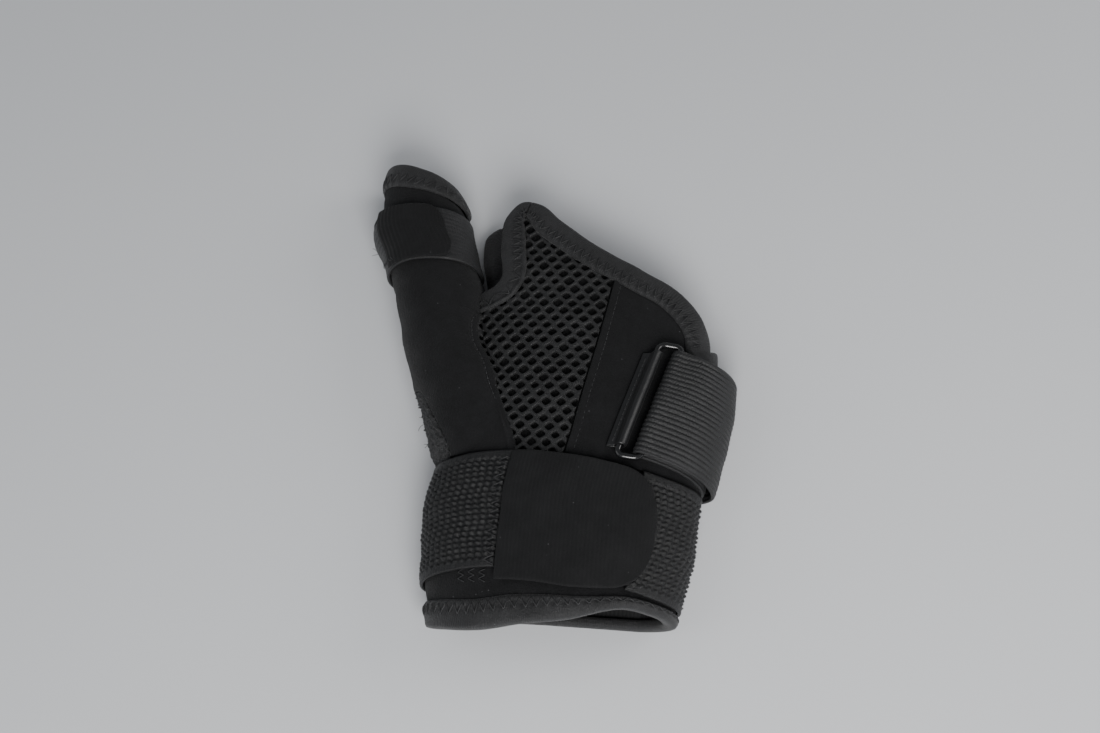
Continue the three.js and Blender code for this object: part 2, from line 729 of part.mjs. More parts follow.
// The palm panel, with the fold along its edge beside the mesh
const FOLD_WIDTH = 3;
const FOLD_RISE = 0.7;
const FOLD_END = 0.73; // share of the hand's length where the fold flattens under the binding
const PALM_TURN = 0.13; // share around, right of which its columns follow the grid
function makePalmPanel() {
  const highest = HAND_LENGTH * 0.95;
  const place = (s, t) => {
    const y = lerp(wristStrapTop(s) + PANEL_START, highest, t);
    const seam = hand.around(palmSeam(y), y);
    const around = s < PALM_TURN ? s : lerp(PALM_TURN, seam, (s - PALM_TURN) / (1 - PALM_TURN));
    return hand.point(around, lerp(wristStrapTop(around) + PANEL_START, highest, t));
  };
  const fold = (s, t) => {
    const beside = place(1, t).distanceTo(place(s, t));
    const fade = 1 - ease((place(s, t).y / HAND_LENGTH - FOLD_END) / 0.05);
    return PANEL_TOP + FOLD_RISE * fade * (1 - ease(beside / FOLD_WIDTH - 0.5));
  };
  const columns = [...sharesBetween(COVER_RIGHT, PALM_TURN), 0.4, 0.7, 0.89, 0.95, 1];
  const panel = toSolid(layer({ surface: place, low: PANEL_LOW, high: fold, columns, rows: 12 }));
  return toGeometry(largest(panel.subtract(fingerKerf(PANEL_TUCK)).subtract(fingerBindingRoom())));
}

// The mesh panel, cut through by rows of holes that stand half a hole apart from row to row
function makeMeshPanel() {
  const low = wristStrapTop(0.3) + PANEL_START;
  const high = HAND_LENGTH * 0.995;
  const place = (s, t) => {
    const y = lerp(low, high, t);
    const x = lerp(thumbSeam(y) - SEAM_GAP * 2, palmSeam(y) - SEAM_GAP * 1.6, s);
    return new THREE.Vector3(x, y, bodyTop(x, y));
  };
  const shape = { surface: place, low: PANEL_LOW, high: PANEL_TOP, columns: evenly(4), rows: 8 };
  const panel = toSolid(layer({ ...shape, isRightward: true }));
  const edge = [];
  for (let i = 0; i <= FORK_STATION; i += 0.5) {
    const { around, y } = fingerHem(i / STATIONS);
    edge.push(hand.point(around, y));
  }
  const holes = [];
  const rows = Math.floor((high - low) / NET_ROW);
  for (let row = 0; row < rows; row += 1) {
    const y = low + SEAM_FOLD + NET_ROW * (row + 0.5);
    const left = thumbSeam(y) + NET_MARGIN + NET_HOLE / 2;
    const right = palmSeam(y) - SEAM_GAP - NET_MARGIN - NET_HOLE / 2;
    const middle = NET_PITCH * (row % 2) * 0.5;
    for (let i = Math.ceil((left - middle) / NET_PITCH); middle + i * NET_PITCH <= right; i += 1) {
      const x = middle + i * NET_PITCH;
      const room = Math.min(...edge.map((p) => Math.hypot(p.x - x, p.y - y)));
      if (room > BINDING_WIDTH + NET_MARGIN + NET_HOLE / 2) {
        holes.push(holeCutter(x, y));
      }
    }
  }
  const besideThumb = panel.subtract(thumbPanelLayer(SEAM_GAP * 3, -PANEL_TOP, PANEL_TOP * 3));
  const hemmed = largest(besideThumb.subtract(fingerKerf(PANEL_TUCK)).subtract(fingerBindingRoom()));
  const cut = largest(hemmed.subtract(toSolid(thumbWithPanel())));
  return toGeometry(largest(cut.subtract(toSolid(joined(holes)))));
}

const SEAM_FOLD = 3; // solid strip of the mesh panel beside the wrist strap

// A prism that cuts one hole of the net, square to the fabric
function holeCutter(x, y) {
  const middle = new THREE.Vector3(x, y, bodyTop(x, y));
  const sideways = new THREE.Vector3(2, 0, bodyTop(x + 1, y) - bodyTop(x - 1, y)).normalize();
  const forwards = new THREE.Vector3(0, 2, bodyTop(x, y + 1) - bodyTop(x, y - 1)).normalize();
  const up = sideways.clone().cross(forwards).normalize();
  const rings = [-PANEL_TOP, PANEL_TOP * 2].map((height) => {
    const ring = [];
    for (let k = 0; k < HOLE_SIDES; k += 1) {
      const angle = (2 * Math.PI * (k + 0.5)) / HOLE_SIDES;
      const p = middle.clone().addScaledVector(up, height);
      p.addScaledVector(sideways, (Math.cos(angle) * NET_HOLE) / 2);
      ring.push(p.addScaledVector(forwards, (Math.sin(angle) * NET_HOLE) / 2));
    }
    return ring;
  });
  const cap = [];
  for (let k = 1; k < HOLE_SIDES - 1; k += 1) {
    cap.push([0, k, k + 1]);
  }
  return skinRings(rings, false, cap);
}

// Several separate closed geometries as one
function joined(geometries) {
  const positions = [];
  const index = [];
  for (const geometry of geometries) {
    const start = positions.length / 3;
    positions.push(...geometry.attributes.position.array);
    index.push(...Array.from(geometry.index.array, (i) => i + start));
  }
  const whole = new THREE.BufferGeometry();
  whole.setAttribute("position", new THREE.Float32BufferAttribute(positions, 3));
  whole.setIndex(index);
  return whole;
}

// Triangles that shut the end of a binding: pairs of one outer point and the inner point across from it
const BINDING_CAP = [
  [0, 1, 9], [0, 9, 10], [1, 2, 8], [1, 8, 9], [2, 3, 8], [3, 7, 8], [3, 4, 7], [4, 5, 6], [4, 6, 7],
];

// Carries a profile along a hem. The hem gives a share around the tube and a place along it, and side
// says on which hand the fabric lies when the hem is followed. A profile's points are distances from
// the hem into the fabric, along its surface, and heights above it.
function alongHem({ tube, hem, side, shares, profile, cap = [], isRing = false }) {
  const step = 0.004;
  const rings = shares.map((share) => {
    const here = hem(share);
    const before = hem(share - step / 2);
    const after = hem(share + step / 2);
    const tangent = tube.point(after.around, after.y).sub(tube.point(before.around, before.y)).normalize();
    const normal = tube.normal(here.around, here.y);
    const inward = normal.clone().cross(tangent).multiplyScalar(side).normalize();
    const du = tube.point(here.around + step, here.y).sub(tube.point(here.around - step, here.y));
    du.divideScalar(2 * step);
    const dy = tube.point(here.around, here.y + 1).sub(tube.point(here.around, here.y - 1)).divideScalar(2);
    const uu = du.dot(du);
    const uy = du.dot(dy);
    const yy = dy.dot(dy);
    const onU = inward.dot(du);
    const onY = inward.dot(dy);
    const det = uu * yy - uy * uy;
    const a = (onU * yy - onY * uy) / det;
    const b = (onY * uu - onU * uy) / det;
    return profile(share).map(([w, n]) => {
      const around = here.around + a * w;
      const y = here.y + b * w;
      return tube.point(around, y).addScaledVector(tube.normal(around, y), n);
    });
  });
  return skinRings(rings, isRing, cap);
}

const BEND_PLACE = 0.7; // share of a binding's width where its outer side has an edge

// A binding folded over a hem, both faces of the fabric in its fold.
function binding({ width, ...path }) {
  const inside = -SHELL_WALL - FABRIC_GAP;
  const outside = PANEL_TOP + FABRIC_GAP;
  const profile = (share) => {
    const w = width(share);
    return [
      [w, outside + BINDING_WALL],
      [w * BEND_PLACE, outside + BINDING_WALL],
      [0, outside + BINDING_WALL * 0.9],
      [-FABRIC_GAP - BINDING_WALL, (inside + outside) / 2],
      [0, inside - BINDING_WALL * 0.9],
      [w * 0.8, inside - BINDING_WALL],
      [w * 0.8, inside],
      [-FABRIC_GAP, inside],
      [-FABRIC_GAP, outside],
      [w * BEND_PLACE, outside],
      [w, outside],
    ];
  };
  return alongHem({ ...path, profile, cap: BINDING_CAP });
}

// Stations along the finger hem, where its bindings and its cut have their edges
const STATIONS = 48;
const PEAK_STATION = 16;
const SPLIT_STATION = 15;
const FORK_STATION = 26;
const UNDER_PEAK_STATION = 33;
const PEAK_WIDTH = 0.6; // share of its width that the binding has at the two peaks
const PEAK_FADE = 4; // stations over which it widens again
const SPLIT_GAP = 0.1; // stations left between two bindings
const SIDE_STATIONS = 3; // stations either side of the right side where edges are twice as close

function fingerBindingWidth(share) {
  const station = (share - Math.floor(share)) * STATIONS;
  const far = Math.min(Math.abs(station - PEAK_STATION), Math.abs(station - UNDER_PEAK_STATION));
  return BINDING_WIDTH * lerp(PEAK_WIDTH, 1, ease(far / PEAK_FADE));
}

// Shares of the finger hem from one station to another
function fingerShares(from, to) {
  const stations = [from];
  for (let i = from + 1; i < to; i += 1) {
    stations.push(i);
    if (Math.abs(i + 0.5) < SIDE_STATIONS) {
      stations.push(i + 0.5);
    }
  }
  stations.push(to);
  return stations.map((station) => station / STATIONS);
}

// Binding of the finger hem from one station to another, a little short of both
function fingerBinding(from, to) {
  const shares = fingerShares(from, to);
  shares[0] += SPLIT_GAP / STATIONS;
  shares[shares.length - 1] -= SPLIT_GAP / STATIONS;
  return toSolid(binding({ tube: hand, hem: fingerHem, side: 1, shares, width: fingerBindingWidth }));
}

// The room that the upper side of the finger bindings takes, with a gap under it
function fingerBindingRoom() {
  const low = PANEL_TOP + FABRIC_GAP - CLOSEST;
  const high = low + KERF_DEPTH;
  const profile = (share) => {
    const w = fingerBindingWidth(share);
    const under = [[w + SEAM_GAP, low], [w * BEND_PLACE, low], [0, low]];
    return [...under, [0, high], [w * BEND_PLACE, high], [w + SEAM_GAP, high]];
  };
  const shares = fingerShares(UNDER_PEAK_STATION - STATIONS, FORK_STATION);
  return toSolid(alongHem({ tube: hand, hem: fingerHem, side: 1, shares, profile, cap: ROOM_CAP }));
}
const ROOM_CAP = [[0, 1, 4], [0, 4, 5], [1, 2, 3], [1, 3, 4]];

// The cut along the finger hem: a narrow closed band that parts the fabric from what lies beyond
const KERF_WIDTH = 3;
const KERF_DEPTH = 6;
function fingerKerf(tuck = 0) {
  const near = tuck;
  const far = tuck - KERF_WIDTH;
  const profile = () => [[near, -KERF_DEPTH], [near, KERF_DEPTH], [far, KERF_DEPTH], [far, -KERF_DEPTH]];
  const shares = Array.from({ length: STATIONS }, (_, i) => i / STATIONS);
  return toSolid(alongHem({ tube: hand, hem: fingerHem, side: 1, shares, profile, isRing: true }));
}

const makeKnuckleBinding = () =>
  toGeometry(clearOfBody(fingerBinding(UNDER_PEAK_STATION - STATIONS, SPLIT_STATION)));

const besideTheThumb = (solid) => toGeometry(clearOfBody(solid.subtract(toSolid(thumbWithPanel()))));
const makeWebBinding = () => besideTheThumb(fingerBinding(SPLIT_STATION, FORK_STATION));
const makeBackWebBinding = () => besideTheThumb(fingerBinding(FORK_STATION, UNDER_PEAK_STATION));

// The wrist binding is narrower on the right, where the strap comes down to the hem
const WRIST_BINDING = [
  { around: 0.0, wide: 0.33 },
  { around: 0.12, wide: 0.33 },
  { around: 0.22, wide: 0.8 },
  { around: 0.32, wide: 1 },
  { around: 0.5, wide: 0.9 },
  { around: 0.6, wide: 0.36 },
  { around: 0.8, wide: 0.3 },
];
function makeWristBinding() {
  return binding({
    tube: hand,
    hem: (share) => ({ around: share, y: wristHem(share) }),
    side: -1,
    shares: wholeRing(AROUND),
    width: (share) => BINDING_WIDTH * ringColumn(WRIST_BINDING, "around", "wide", share),
    isRing: true,
  });
}

const TIP_NARROW = 0.7; // share of its width that the thumb's binding has towards the hand
function makeThumbTipBinding() {
  return binding({
    tube: thumb,
    hem: (share) => ({ around: share, y: thumbHem(share) }),
    side: 1,
    shares: wholeRing(THUMB_AROUND),
    width: (share) => BINDING_WIDTH * lerp(TIP_NARROW, 1, ease(2 - 4 * Math.abs(share - 0.5))),
    isRing: true,
  });
}

addPiece("inner_shell", makeShell(), "lining");
addPiece("thumb_panel", makeThumbPanel(), "loop");
addPiece("side_mesh", makeSideMesh(), "mesh");
addPiece("wrist_panel", makeWristPanel(), "loop");
addPiece("palm_panel", makePalmPanel(), "loop");
addPiece("mesh_panel", makeMeshPanel(), "mesh");
addPiece("knuckle_binding", makeKnuckleBinding(), "binding");
addPiece("web_binding", makeWebBinding(), "binding");
addPiece("back_web_binding", makeBackWebBinding(), "binding");
addPiece("wrist_binding", makeWristBinding(), "binding");
addPiece("thumb_tip_binding", makeThumbTipBinding(), "binding");

// The wrist strap starts under its hook tab and goes once round the hand tube
const STRAP_START = 0.12; // share around where the woven elastic starts, under the tab
function makeWristStrap() {
  const place = (s, t) => hand.point(s, wristStrapMiddle(s) + (t - 0.5) * WRIST_STRAP_WIDTH);
  const columns = sharesBetween(WRIST_SEAM, 1 + STRAP_START);
  return layer({ surface: place, low: STRAP_LOW, high: STRAP_TOP, columns, rows: 4 });
}

// Its hook tab: sewn on at the seam, rounded at its free end, and longer than the strap downwards
const WRIST_SEAM = 0.325; // share around where the elastic ends in the tab
const TAB_DROP = 5; // below the strap's lower edge
const TAB_STEP = 1; // below its upper edge
const TAB_ROUND = 0.28; // share of the tab's length that its rounded end takes
const towardsEnd = (s) => 1 - (1 - s) ** 1.6;
const tabNarrowing = (s) => (1 - clamp((s - 1 + TAB_ROUND) / TAB_ROUND, 0, 1) ** 2.6) ** (1 / 2.6);
function makeWristTab() {
  const far = WRIST_SEAM - (WRIST_TAB_LENGTH * 0.5) / hand.topLength(WRIST_STRAP_SET);
  const place = (s, t) => {
    const share = (WRIST_SEAM - s) / (WRIST_SEAM - far);
    const around = s;
    const middle = wristStrapMiddle(around);
    const top = WRIST_STRAP_WIDTH / 2 - TAB_STEP;
    const bottom = -WRIST_STRAP_WIDTH / 2 - TAB_DROP * (1 - ease((share - 0.45) / 0.5));
    const centre = (top + bottom) / 2;
    const half = ((top - bottom) / 2) * Math.max(tabNarrowing(share), 0.25);
    return hand.point(around, middle + centre + (2 * t - 1) * half);
  };
  const columns = evenly(13).map((share) => lerp(WRIST_SEAM - 0.002, far, towardsEnd(share)));
  return layer({ surface: place, low: TAB_LOW, high: TAB_TOP, columns, rows: 4 });
}

// The thumb strap and its hook tab
const THUMB_STRAP_SWAY = [
  { around: 0.0, shift: 0.06 },
  { around: 0.25, shift: 0.02 },
  { around: 0.5, shift: -0.06 },
  { around: 0.75, shift: 0.02 },
];
function thumbStrapMiddle(around) {
  const sway = ringColumn(THUMB_STRAP_SWAY, "around", "shift", around) * THUMB_STRAP_WIDTH;
  return CROTCH_HEIGHT + THUMB_STRAP_SET + sway;
}
function makeThumbStrap() {
  const place = (s, t) => thumb.point(s, thumbStrapMiddle(s) + (t - 0.5) * THUMB_STRAP_WIDTH);
  const columns = wholeRing(THUMB_AROUND);
  return layer({ surface: place, low: STRAP_LOW, high: STRAP_TOP, columns, rows: 4, isRing: true });
}

const THUMB_SEAM = 0.4; // share around where the hook tab starts
function makeThumbTab() {
  const far = THUMB_SEAM - (THUMB_TAB_LENGTH * 0.5) / thumb.topLength(CROTCH_HEIGHT + THUMB_STRAP_SET);
  const place = (s, t) => {
    const share = (THUMB_SEAM - s) / (THUMB_SEAM - far);
    const around = s;
    const half = (THUMB_STRAP_WIDTH / 2) * Math.max(tabNarrowing(share), 0.4);
    return thumb.point(around, thumbStrapMiddle(around) + (2 * t - 1) * half);
  };
  const columns = evenly(9).map((share) => lerp(THUMB_SEAM, far, towardsEnd(share)));
  return layer({ surface: place, low: TAB_LOW, high: TAB_TOP, columns, rows: 3 });
}

// The ring, in the palm panel's own plane: across from its outer bar, along from its middle, height
// above the shell
function ringPlace(across, along, height) {
  const y = HAND_STRAP_SET + along;
  const around = hand.around(RING_PLACE + across + along * RING_LEAN, y);
  return hand.point(around, y).addScaledVector(hand.normal(around, y), height);
}

const CASING_WALL = 1.0;
const WIRE_GAP = 0.3;
const OUTER_BAR_HEIGHT = STRAP_LOW + CASING_WALL + WIRE_GAP + RING_WIRE / 2;
const INNER_BAR_HEIGHT = STRAP_TOP + WIRE_GAP + RING_WIRE / 2;
const STRAP_CLEARANCE = 0.8; // between the strap's edge and the ring's short sides
const RING_LENGTH = HAND_STRAP_WIDTH + 2 * STRAP_CLEARANCE + RING_WIRE;

function makeRing() {
  const path = [];
  const corners = [
    { x: 0, y: -1, turn: Math.PI },
    { x: 1, y: -1, turn: 1.5 * Math.PI },
    { x: 1, y: 1, turn: 2 * Math.PI },
    { x: 0, y: 1, turn: 2.5 * Math.PI },
  ];
  const bend = 3;
  for (const { x, y, turn } of corners) {
    const cx = x === 0 ? RING_CORNER : RING_WIDTH - RING_CORNER;
    const cy = y * (RING_LENGTH / 2 - RING_CORNER);
    for (let k = 0; k <= bend; k += 1) {
      const angle = turn + (Math.PI / 2) * (k / bend);
      path.push([cx + RING_CORNER * Math.cos(angle), cy + RING_CORNER * Math.sin(angle)]);
    }
    const isLong = (x === 0) === (y > 0);
    if (isLong) {
      const straight = 8;
      for (let k = 1; k < straight; k += 1) {
        const along = y * (RING_LENGTH / 2 - RING_CORNER) * (1 - (2 * k) / straight);
        path.push([x === 0 ? 0 : RING_WIDTH, along]);
      }
    }
  }
  const height = (across) => lerp(OUTER_BAR_HEIGHT, INNER_BAR_HEIGHT, across / RING_WIDTH);
  const points = path.map(([a, b]) => ringPlace(a, b, height(a)));
  return wireLoop(points, RING_WIRE / 2);
}

// A closed loop of round wire through a ring of points that lie nearly in one plane
function wireLoop(points, radius) {
  const count = points.length;
  const centre = points.reduce((sum, p) => sum.add(p), new THREE.Vector3()).divideScalar(count);
  const up = new THREE.Vector3();
  for (let i = 0; i < count; i += 1) {
    const a = points[i].clone().sub(centre);
    up.add(a.cross(points[(i + 1) % count].clone().sub(centre)));
  }
  up.normalize();
  const rings = points.map((p, i) => {
    const before = points[(i + count - 1) % count];
    const after = points[(i + 1) % count];
    const along = after.clone().sub(before).normalize();
    const sideways = along.clone().cross(up).normalize();
    const upwards = sideways.clone().cross(along).normalize();
    const ring = [];
    for (let k = 0; k < WIRE_SIDES; k += 1) {
      const angle = (2 * Math.PI * k) / WIRE_SIDES;
      const q = p.clone().addScaledVector(sideways, radius * Math.cos(angle));
      ring.push(q.addScaledVector(upwards, radius * Math.sin(angle)));
    }
    return ring;
  });
  return skinRings(rings, true, []);
}

// The casing that holds the outer bar: one flap under the wire, round it and back over the flap
const CASING_REACH = 9;
const CASING_SHORT = 4; // how much narrower than the strap it is
const CASING_LENGTH = HAND_STRAP_WIDTH - CASING_SHORT;
function makeRingTab() {
  const radius = RING_WIRE / 2 + WIRE_GAP + CASING_WALL / 2;
  const lowFlap = STRAP_LOW + CASING_WALL / 2;
  const highFlap = lowFlap + CASING_WALL + FABRIC_GAP;
  const place = (s, t) => {
    const along = (t - 0.5) * CASING_LENGTH;
    if (s < 0.3) {
      return ringPlace(-CASING_REACH * (1 - s / 0.3), along, lowFlap);
    }
    if (s < 0.6) {
      const angle = Math.PI * ((s - 0.3) / 0.3);
      return ringPlace(radius * Math.sin(angle), along, OUTER_BAR_HEIGHT - radius * Math.cos(angle));
    }
    const back = (s - 0.6) / 0.4;
    const fall = ease(back / 0.55);
    return ringPlace(-CASING_REACH * back, along, lerp(OUTER_BAR_HEIGHT + radius, highFlap, fall));
  };
  const half = CASING_WALL / 2;
  return layer({ surface: place, low: -half, high: half, columns: evenly(20), rows: 3 });
}

// The hand strap: from its sewn end on the underside, round the right side to the ring, round the
// ring's inner bar, and back over itself to its free end
const HAND_STRAP_SWAY = [
  { around: -0.4, shift: -0.125 },
  { around: -0.05, shift: -0.13 },
  { around: 0.0, shift: -0.125 },
  { around: 0.035, shift: -0.105 },
  { around: 0.06, shift: -0.04 },
  { around: 0.075, shift: 0 },
  { around: 0.3, shift: 0 },
];
const HAND_STRAP_SEWN = -0.3; // share around of its sewn end
const HAND_STRAP_FREE = -0.03; // share around of its free end
const FREE_BULGE = [2.2, 5.2]; // how far the free layer stands off at the side, lower and upper edge
const SETTLE = 0.1; // share around over which the free layer comes down beside the ring
const BAR_FADE = 0.08; // share around over which the strap takes up the ring's lean
function makeHandStrap() {
  const half = STRAP_WALL / 2;
  const low = STRAP_LOW + half;
  const radius = RING_WIRE / 2 + WIRE_GAP + half;
  const second = low + STRAP_WALL + FABRIC_GAP;
  const barPlace = (along) => RING_PLACE + RING_WIDTH + along * RING_LEAN;
  const barAround = (along) => hand.around(barPlace(along), HAND_STRAP_SET + along);
  const bar = barAround(0);
  const onHand = (around, along, height) => {
    const lean = (barAround(along) - bar) * ease(1 - (bar - around) / BAR_FADE);
    const shift = column(HAND_STRAP_SWAY, "around", "shift", around) * HAND_STRAP_WIDTH;
    const y = HAND_STRAP_SET + along + shift;
    return hand.point(around + lean, y).addScaledVector(hand.normal(around + lean, y), height);
  };
  const place = (s, t) => {
    const along = (t - 0.5) * HAND_STRAP_WIDTH;
    if (s <= bar) {
      return onHand(s, along, low);
    }
    if (s < bar + 1) {
      const angle = Math.PI * (s - bar);
      const around = bar + (radius * Math.sin(angle) * 0.5) / hand.topLength(HAND_STRAP_SET);
      return onHand(around, along, low + radius * (1 - Math.cos(angle)));
    }
    const around = bar - (s - bar - 1);
    const back = (bar - around) / (bar - HAND_STRAP_FREE);
    const settle = lerp(low + 2 * radius, second, ease((bar - around) / SETTLE));
    const droop = 1 - 0.75 * ease((back - 0.78) / 0.22);
    const bulge = lerp(FREE_BULGE[0], FREE_BULGE[1], t) * ease(back / 0.7) * droop;
    return onHand(around, along, settle + bulge);
  };
  const under = sharesBetween(HAND_STRAP_SEWN, bar);
  const fold = evenly(8).slice(1, -1).map((share) => bar + share);
  const over = sharesBetween(bar, HAND_STRAP_FREE).map((around) => bar + 1 + (bar - around));
  const columns = [...under, ...fold, ...over];
  return layer({ surface: place, low: -half, high: half, columns, rows: 5 });
}

addPiece("wrist_strap", makeWristStrap(), "elastic");
addPiece("wrist_strap_tab", makeWristTab(), "hook");
addPiece("thumb_strap", makeThumbStrap(), "elastic");
addPiece("thumb_strap_tab", makeThumbTab(), "hook");
addPiece("strap_ring", makeRing(), "wire");
addPiece("ring_tab", makeRingTab(), "loop");
addPiece("hand_strap", makeHandStrap(), "elastic");

// The origin is in the middle of the whole splint, on the table
const reach = new THREE.Box3().setFromObject(model);
model.position.set(-(reach.min.x + reach.max.x) / 2, -(reach.min.y + reach.max.y) / 2, -reach.min.z);

export default model;
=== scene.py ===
"""Looks of a black thumb spica splint that lies on a pale table: fabrics, webbing, net, seams and light."""

import logging
from collections.abc import Callable
from dataclasses import dataclass, field
from enum import Enum

import bmesh
import bpy
import numpy as np
from mathutils import Matrix, Vector
from numpy.typing import NDArray


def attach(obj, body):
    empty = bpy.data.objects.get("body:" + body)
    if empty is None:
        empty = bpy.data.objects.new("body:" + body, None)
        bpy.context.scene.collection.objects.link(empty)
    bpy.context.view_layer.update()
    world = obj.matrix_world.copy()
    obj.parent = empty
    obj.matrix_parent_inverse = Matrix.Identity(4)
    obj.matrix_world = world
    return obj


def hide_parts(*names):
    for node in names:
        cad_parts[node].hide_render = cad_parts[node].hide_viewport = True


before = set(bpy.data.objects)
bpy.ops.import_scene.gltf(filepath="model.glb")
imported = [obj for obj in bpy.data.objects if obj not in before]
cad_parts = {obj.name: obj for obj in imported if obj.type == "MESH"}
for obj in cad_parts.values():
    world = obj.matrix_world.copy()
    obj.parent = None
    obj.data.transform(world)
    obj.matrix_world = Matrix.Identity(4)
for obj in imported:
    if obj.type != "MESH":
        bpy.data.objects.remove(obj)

Array = NDArray[np.float64]
Faces = NDArray[np.int64]
# Points of a cloth's face at shares s across it and shares t along it
Surface = Callable[[Array, Array], Array]
# How far a weave is raised, in millimetres, at points p with the lengths u and v walked across and along
Relief = Callable[[Array, Array, Array], Array]
# Points above a cloth and directions square to it, at shares of a path
HighPath = Callable[[Array], tuple[Array, Array]]
LOG = logging.getLogger("splint")
MM = 0.001

# The frame's origin, in the millimetres of the pieces below, which start at the wrist hem
ORIGIN = np.array([-16.570, 101.788, -0.081])


@dataclass(frozen=True)
class BodySizes:
    """Driving sizes of the splint's body, in millimetres."""

    hand_length: float = 193.0
    crotch_height: float = 146.0
    thumb_length: float = 62.0
    hand_width: float = 108.0
    hand_height: float = 38.0
    thumb_width: float = 40.0
    thumb_height: float = 29.0
    waist_height: float = 13.0
    binding_width: float = 10.0
    wrist_strap_width: float = 48.0
    wrist_strap_set: float = 45.0
    thumb_strap_width: float = 26.0
    thumb_strap_set: float = 22.0
    hand_strap_width: float = 48.0
    hand_strap_set: float = 96.0


@dataclass(frozen=True)
class Layers:
    """Heights of the layers above the outer face of the inner shell, in millimetres."""

    shell: float = 1.2
    panel_low: float = 0.8
    panel_top: float = 2.0
    strap_low: float = 2.5
    strap_top: float = 4.1
    tab_low: float = 4.6
    tab_top: float = 5.9
    gap: float = 0.5
    binding: float = 0.9


SIZES = BodySizes()
LAYERS = Layers()


def lerp(a: Array | float, b: Array | float, share: Array | float) -> Array:
    """Value at a share of the way from a to b."""
    return a + (b - a) * share


def ease(share: Array | float) -> Array:
    """Smooth step of a share, level at 0 and at 1."""
    s = np.clip(share, 0.0, 1.0)
    return s * s * (3.0 - 2.0 * s)


def bump(value: Array | float, middle: float, width: float) -> Array:
    """Bell of height 1 round a middle: exp(-((value - middle) / width)^2)."""
    return np.exp(-(((value - middle) / width) ** 2))


def column(rows: Array, at: Array | float, index: int) -> Array:
    """Smooth value of one column of a table along its rising first column.

    Between two rows it is the cubic that meets both values with the mean slopes of their neighbours.

    Args:
        rows: the table, one row for each place.
        at: places along the first column.
        index: the column to read.

    Returns:
        The values at those places.
    """
    keys = rows[:, 0]
    values = rows[:, index]
    last = len(rows) - 1
    place = np.clip(np.asarray(at, float), keys[0], keys[-1])
    i = np.clip(np.searchsorted(keys[1:], place, "left"), 0, last - 1)
    before = np.maximum(np.arange(last + 1) - 1, 0)
    after = np.minimum(np.arange(last + 1) + 1, last)
    slope = (values[after] - values[before]) / (keys[after] - keys[before])
    step = keys[i + 1] - keys[i]
    t = (place - keys[i]) / step
    rise = t * t * (3 - 2 * t)
    start = t * (1 - t) * (1 - t) * step * slope[i]
    end = t * t * (t - 1) * step * slope[i + 1]
    return lerp(values[i], values[i + 1], rise) + start + end


def ring_column(rows: Array, at: Array | float, index: int) -> Array:
    """The same for a table whose first column goes round from 0 to 1 and meets itself.

    Args:
        rows: the table, one row for each share.
        at: shares round.
        index: the column to read.

    Returns:
        The values at those shares.
    """
    low = rows[-2:].copy()
    high = rows[:2].copy()
    low[:, 0] -= 1
    high[:, 0] += 1
    at = np.asarray(at, float)
    return column(np.vstack([low, rows, high]), at - np.floor(at), index)


# Hand tube: along, left, right, crown, base, as shares of the body's sizes
HAND_SECTIONS = np.array([
    [-0.06, -0.355, 0.445, 0.95, 1],
    [0.0, -0.375, 0.455, 0.965, 1],
    [0.09, -0.415, 0.475, 0.985, 1],
    [0.19, -0.442, 0.495, 1.0, 1],
    [0.27, -0.456, 0.502, 1.0, 1],
    [0.34, -0.446, 0.508, 0.985, 1],
    [0.45, -0.44, 0.526, 0.94, 1],
    [0.55, -0.436, 0.528, 0.87, 1],
    [0.65, -0.432, 0.512, 0.8, 0.97],
    [0.76, -0.425, 0.494, 0.72, 0.94],
    [0.89, -0.445, 0.485, 0.65, 0.9],
    [1.03, -0.47, 0.455, 0.6, 0.9],
])

# Thumb tube: along, side towards the hand, width, crown, base
THUMB_SECTIONS = np.array([
    [0.36, -0.13, 0.7, 0.84, 1.6],
    [0.44, -0.1, 0.88, 0.98, 1.45],
    [0.5, -0.085, 1.105, 1.08, 1.15],
    [0.55, -0.09, 1.15, 1.13, 1.1],
    [0.665, -0.16, 1.15, 1.16, 1.1],
    [0.83, -0.345, 0.92, 1.1, 1.1],
    [0.92, -0.39, 0.9, 1.06, 1.1],
    [1.0, -0.42, 0.925, 1.03, 1.05],
    [1.22, -0.48, 0.9, 1.0, 1],
    [1.45, -0.533, 0.965, 0.97, 1],
    [1.7, -0.578, 0.85, 0.93, 0.96],
    [2.08, -0.665, 0.63, 0.86, 0.92],
])

WRIST_HEM = np.array([
    [0.0, 0.066], [0.06, 0.068], [0.12, 0.065], [0.2, 0.03], [0.28, 0.01], [0.36, -0.008],
    [0.44, -0.004], [0.5, 0.012], [0.57, 0.04], [0.68, 0.052], [0.84, 0.06],
])
THUMB_HEM = np.array([
    [0.0, 0.77], [0.1, 0.82], [0.25, 0.905], [0.4, 0.955], [0.5, 0.95], [0.6, 0.94], [0.75, 0.89], [0.9, 0.8],
])

# Finger hem: is it on top, across as a share of the hand's width, along of its length
FINGER_HEM = np.array([
    [1, 0.492, 0.65], [1, 0.48, 0.688], [1, 0.445, 0.73], [1, 0.37, 0.775],
    [1, 0.21, 0.822], [1, 0.04, 0.87], [1, -0.14, 0.94], [1, -0.225, 0.978], [1, -0.3, 0.985],
    [1, -0.35, 0.945], [1, -0.345, 0.87], [1, -0.322, 0.79], [1, -0.355, 0.762],
    [0, -0.424, 0.758], [0, -0.4, 0.79], [0, -0.43, 0.87], [0, -0.435, 0.94], [0, -0.37, 0.975],
    [0, -0.27, 0.962], [0, -0.12, 0.905], [0, 0.05, 0.84], [0, 0.22, 0.79], [0, 0.38, 0.74], [0, 0.46, 0.69],
])

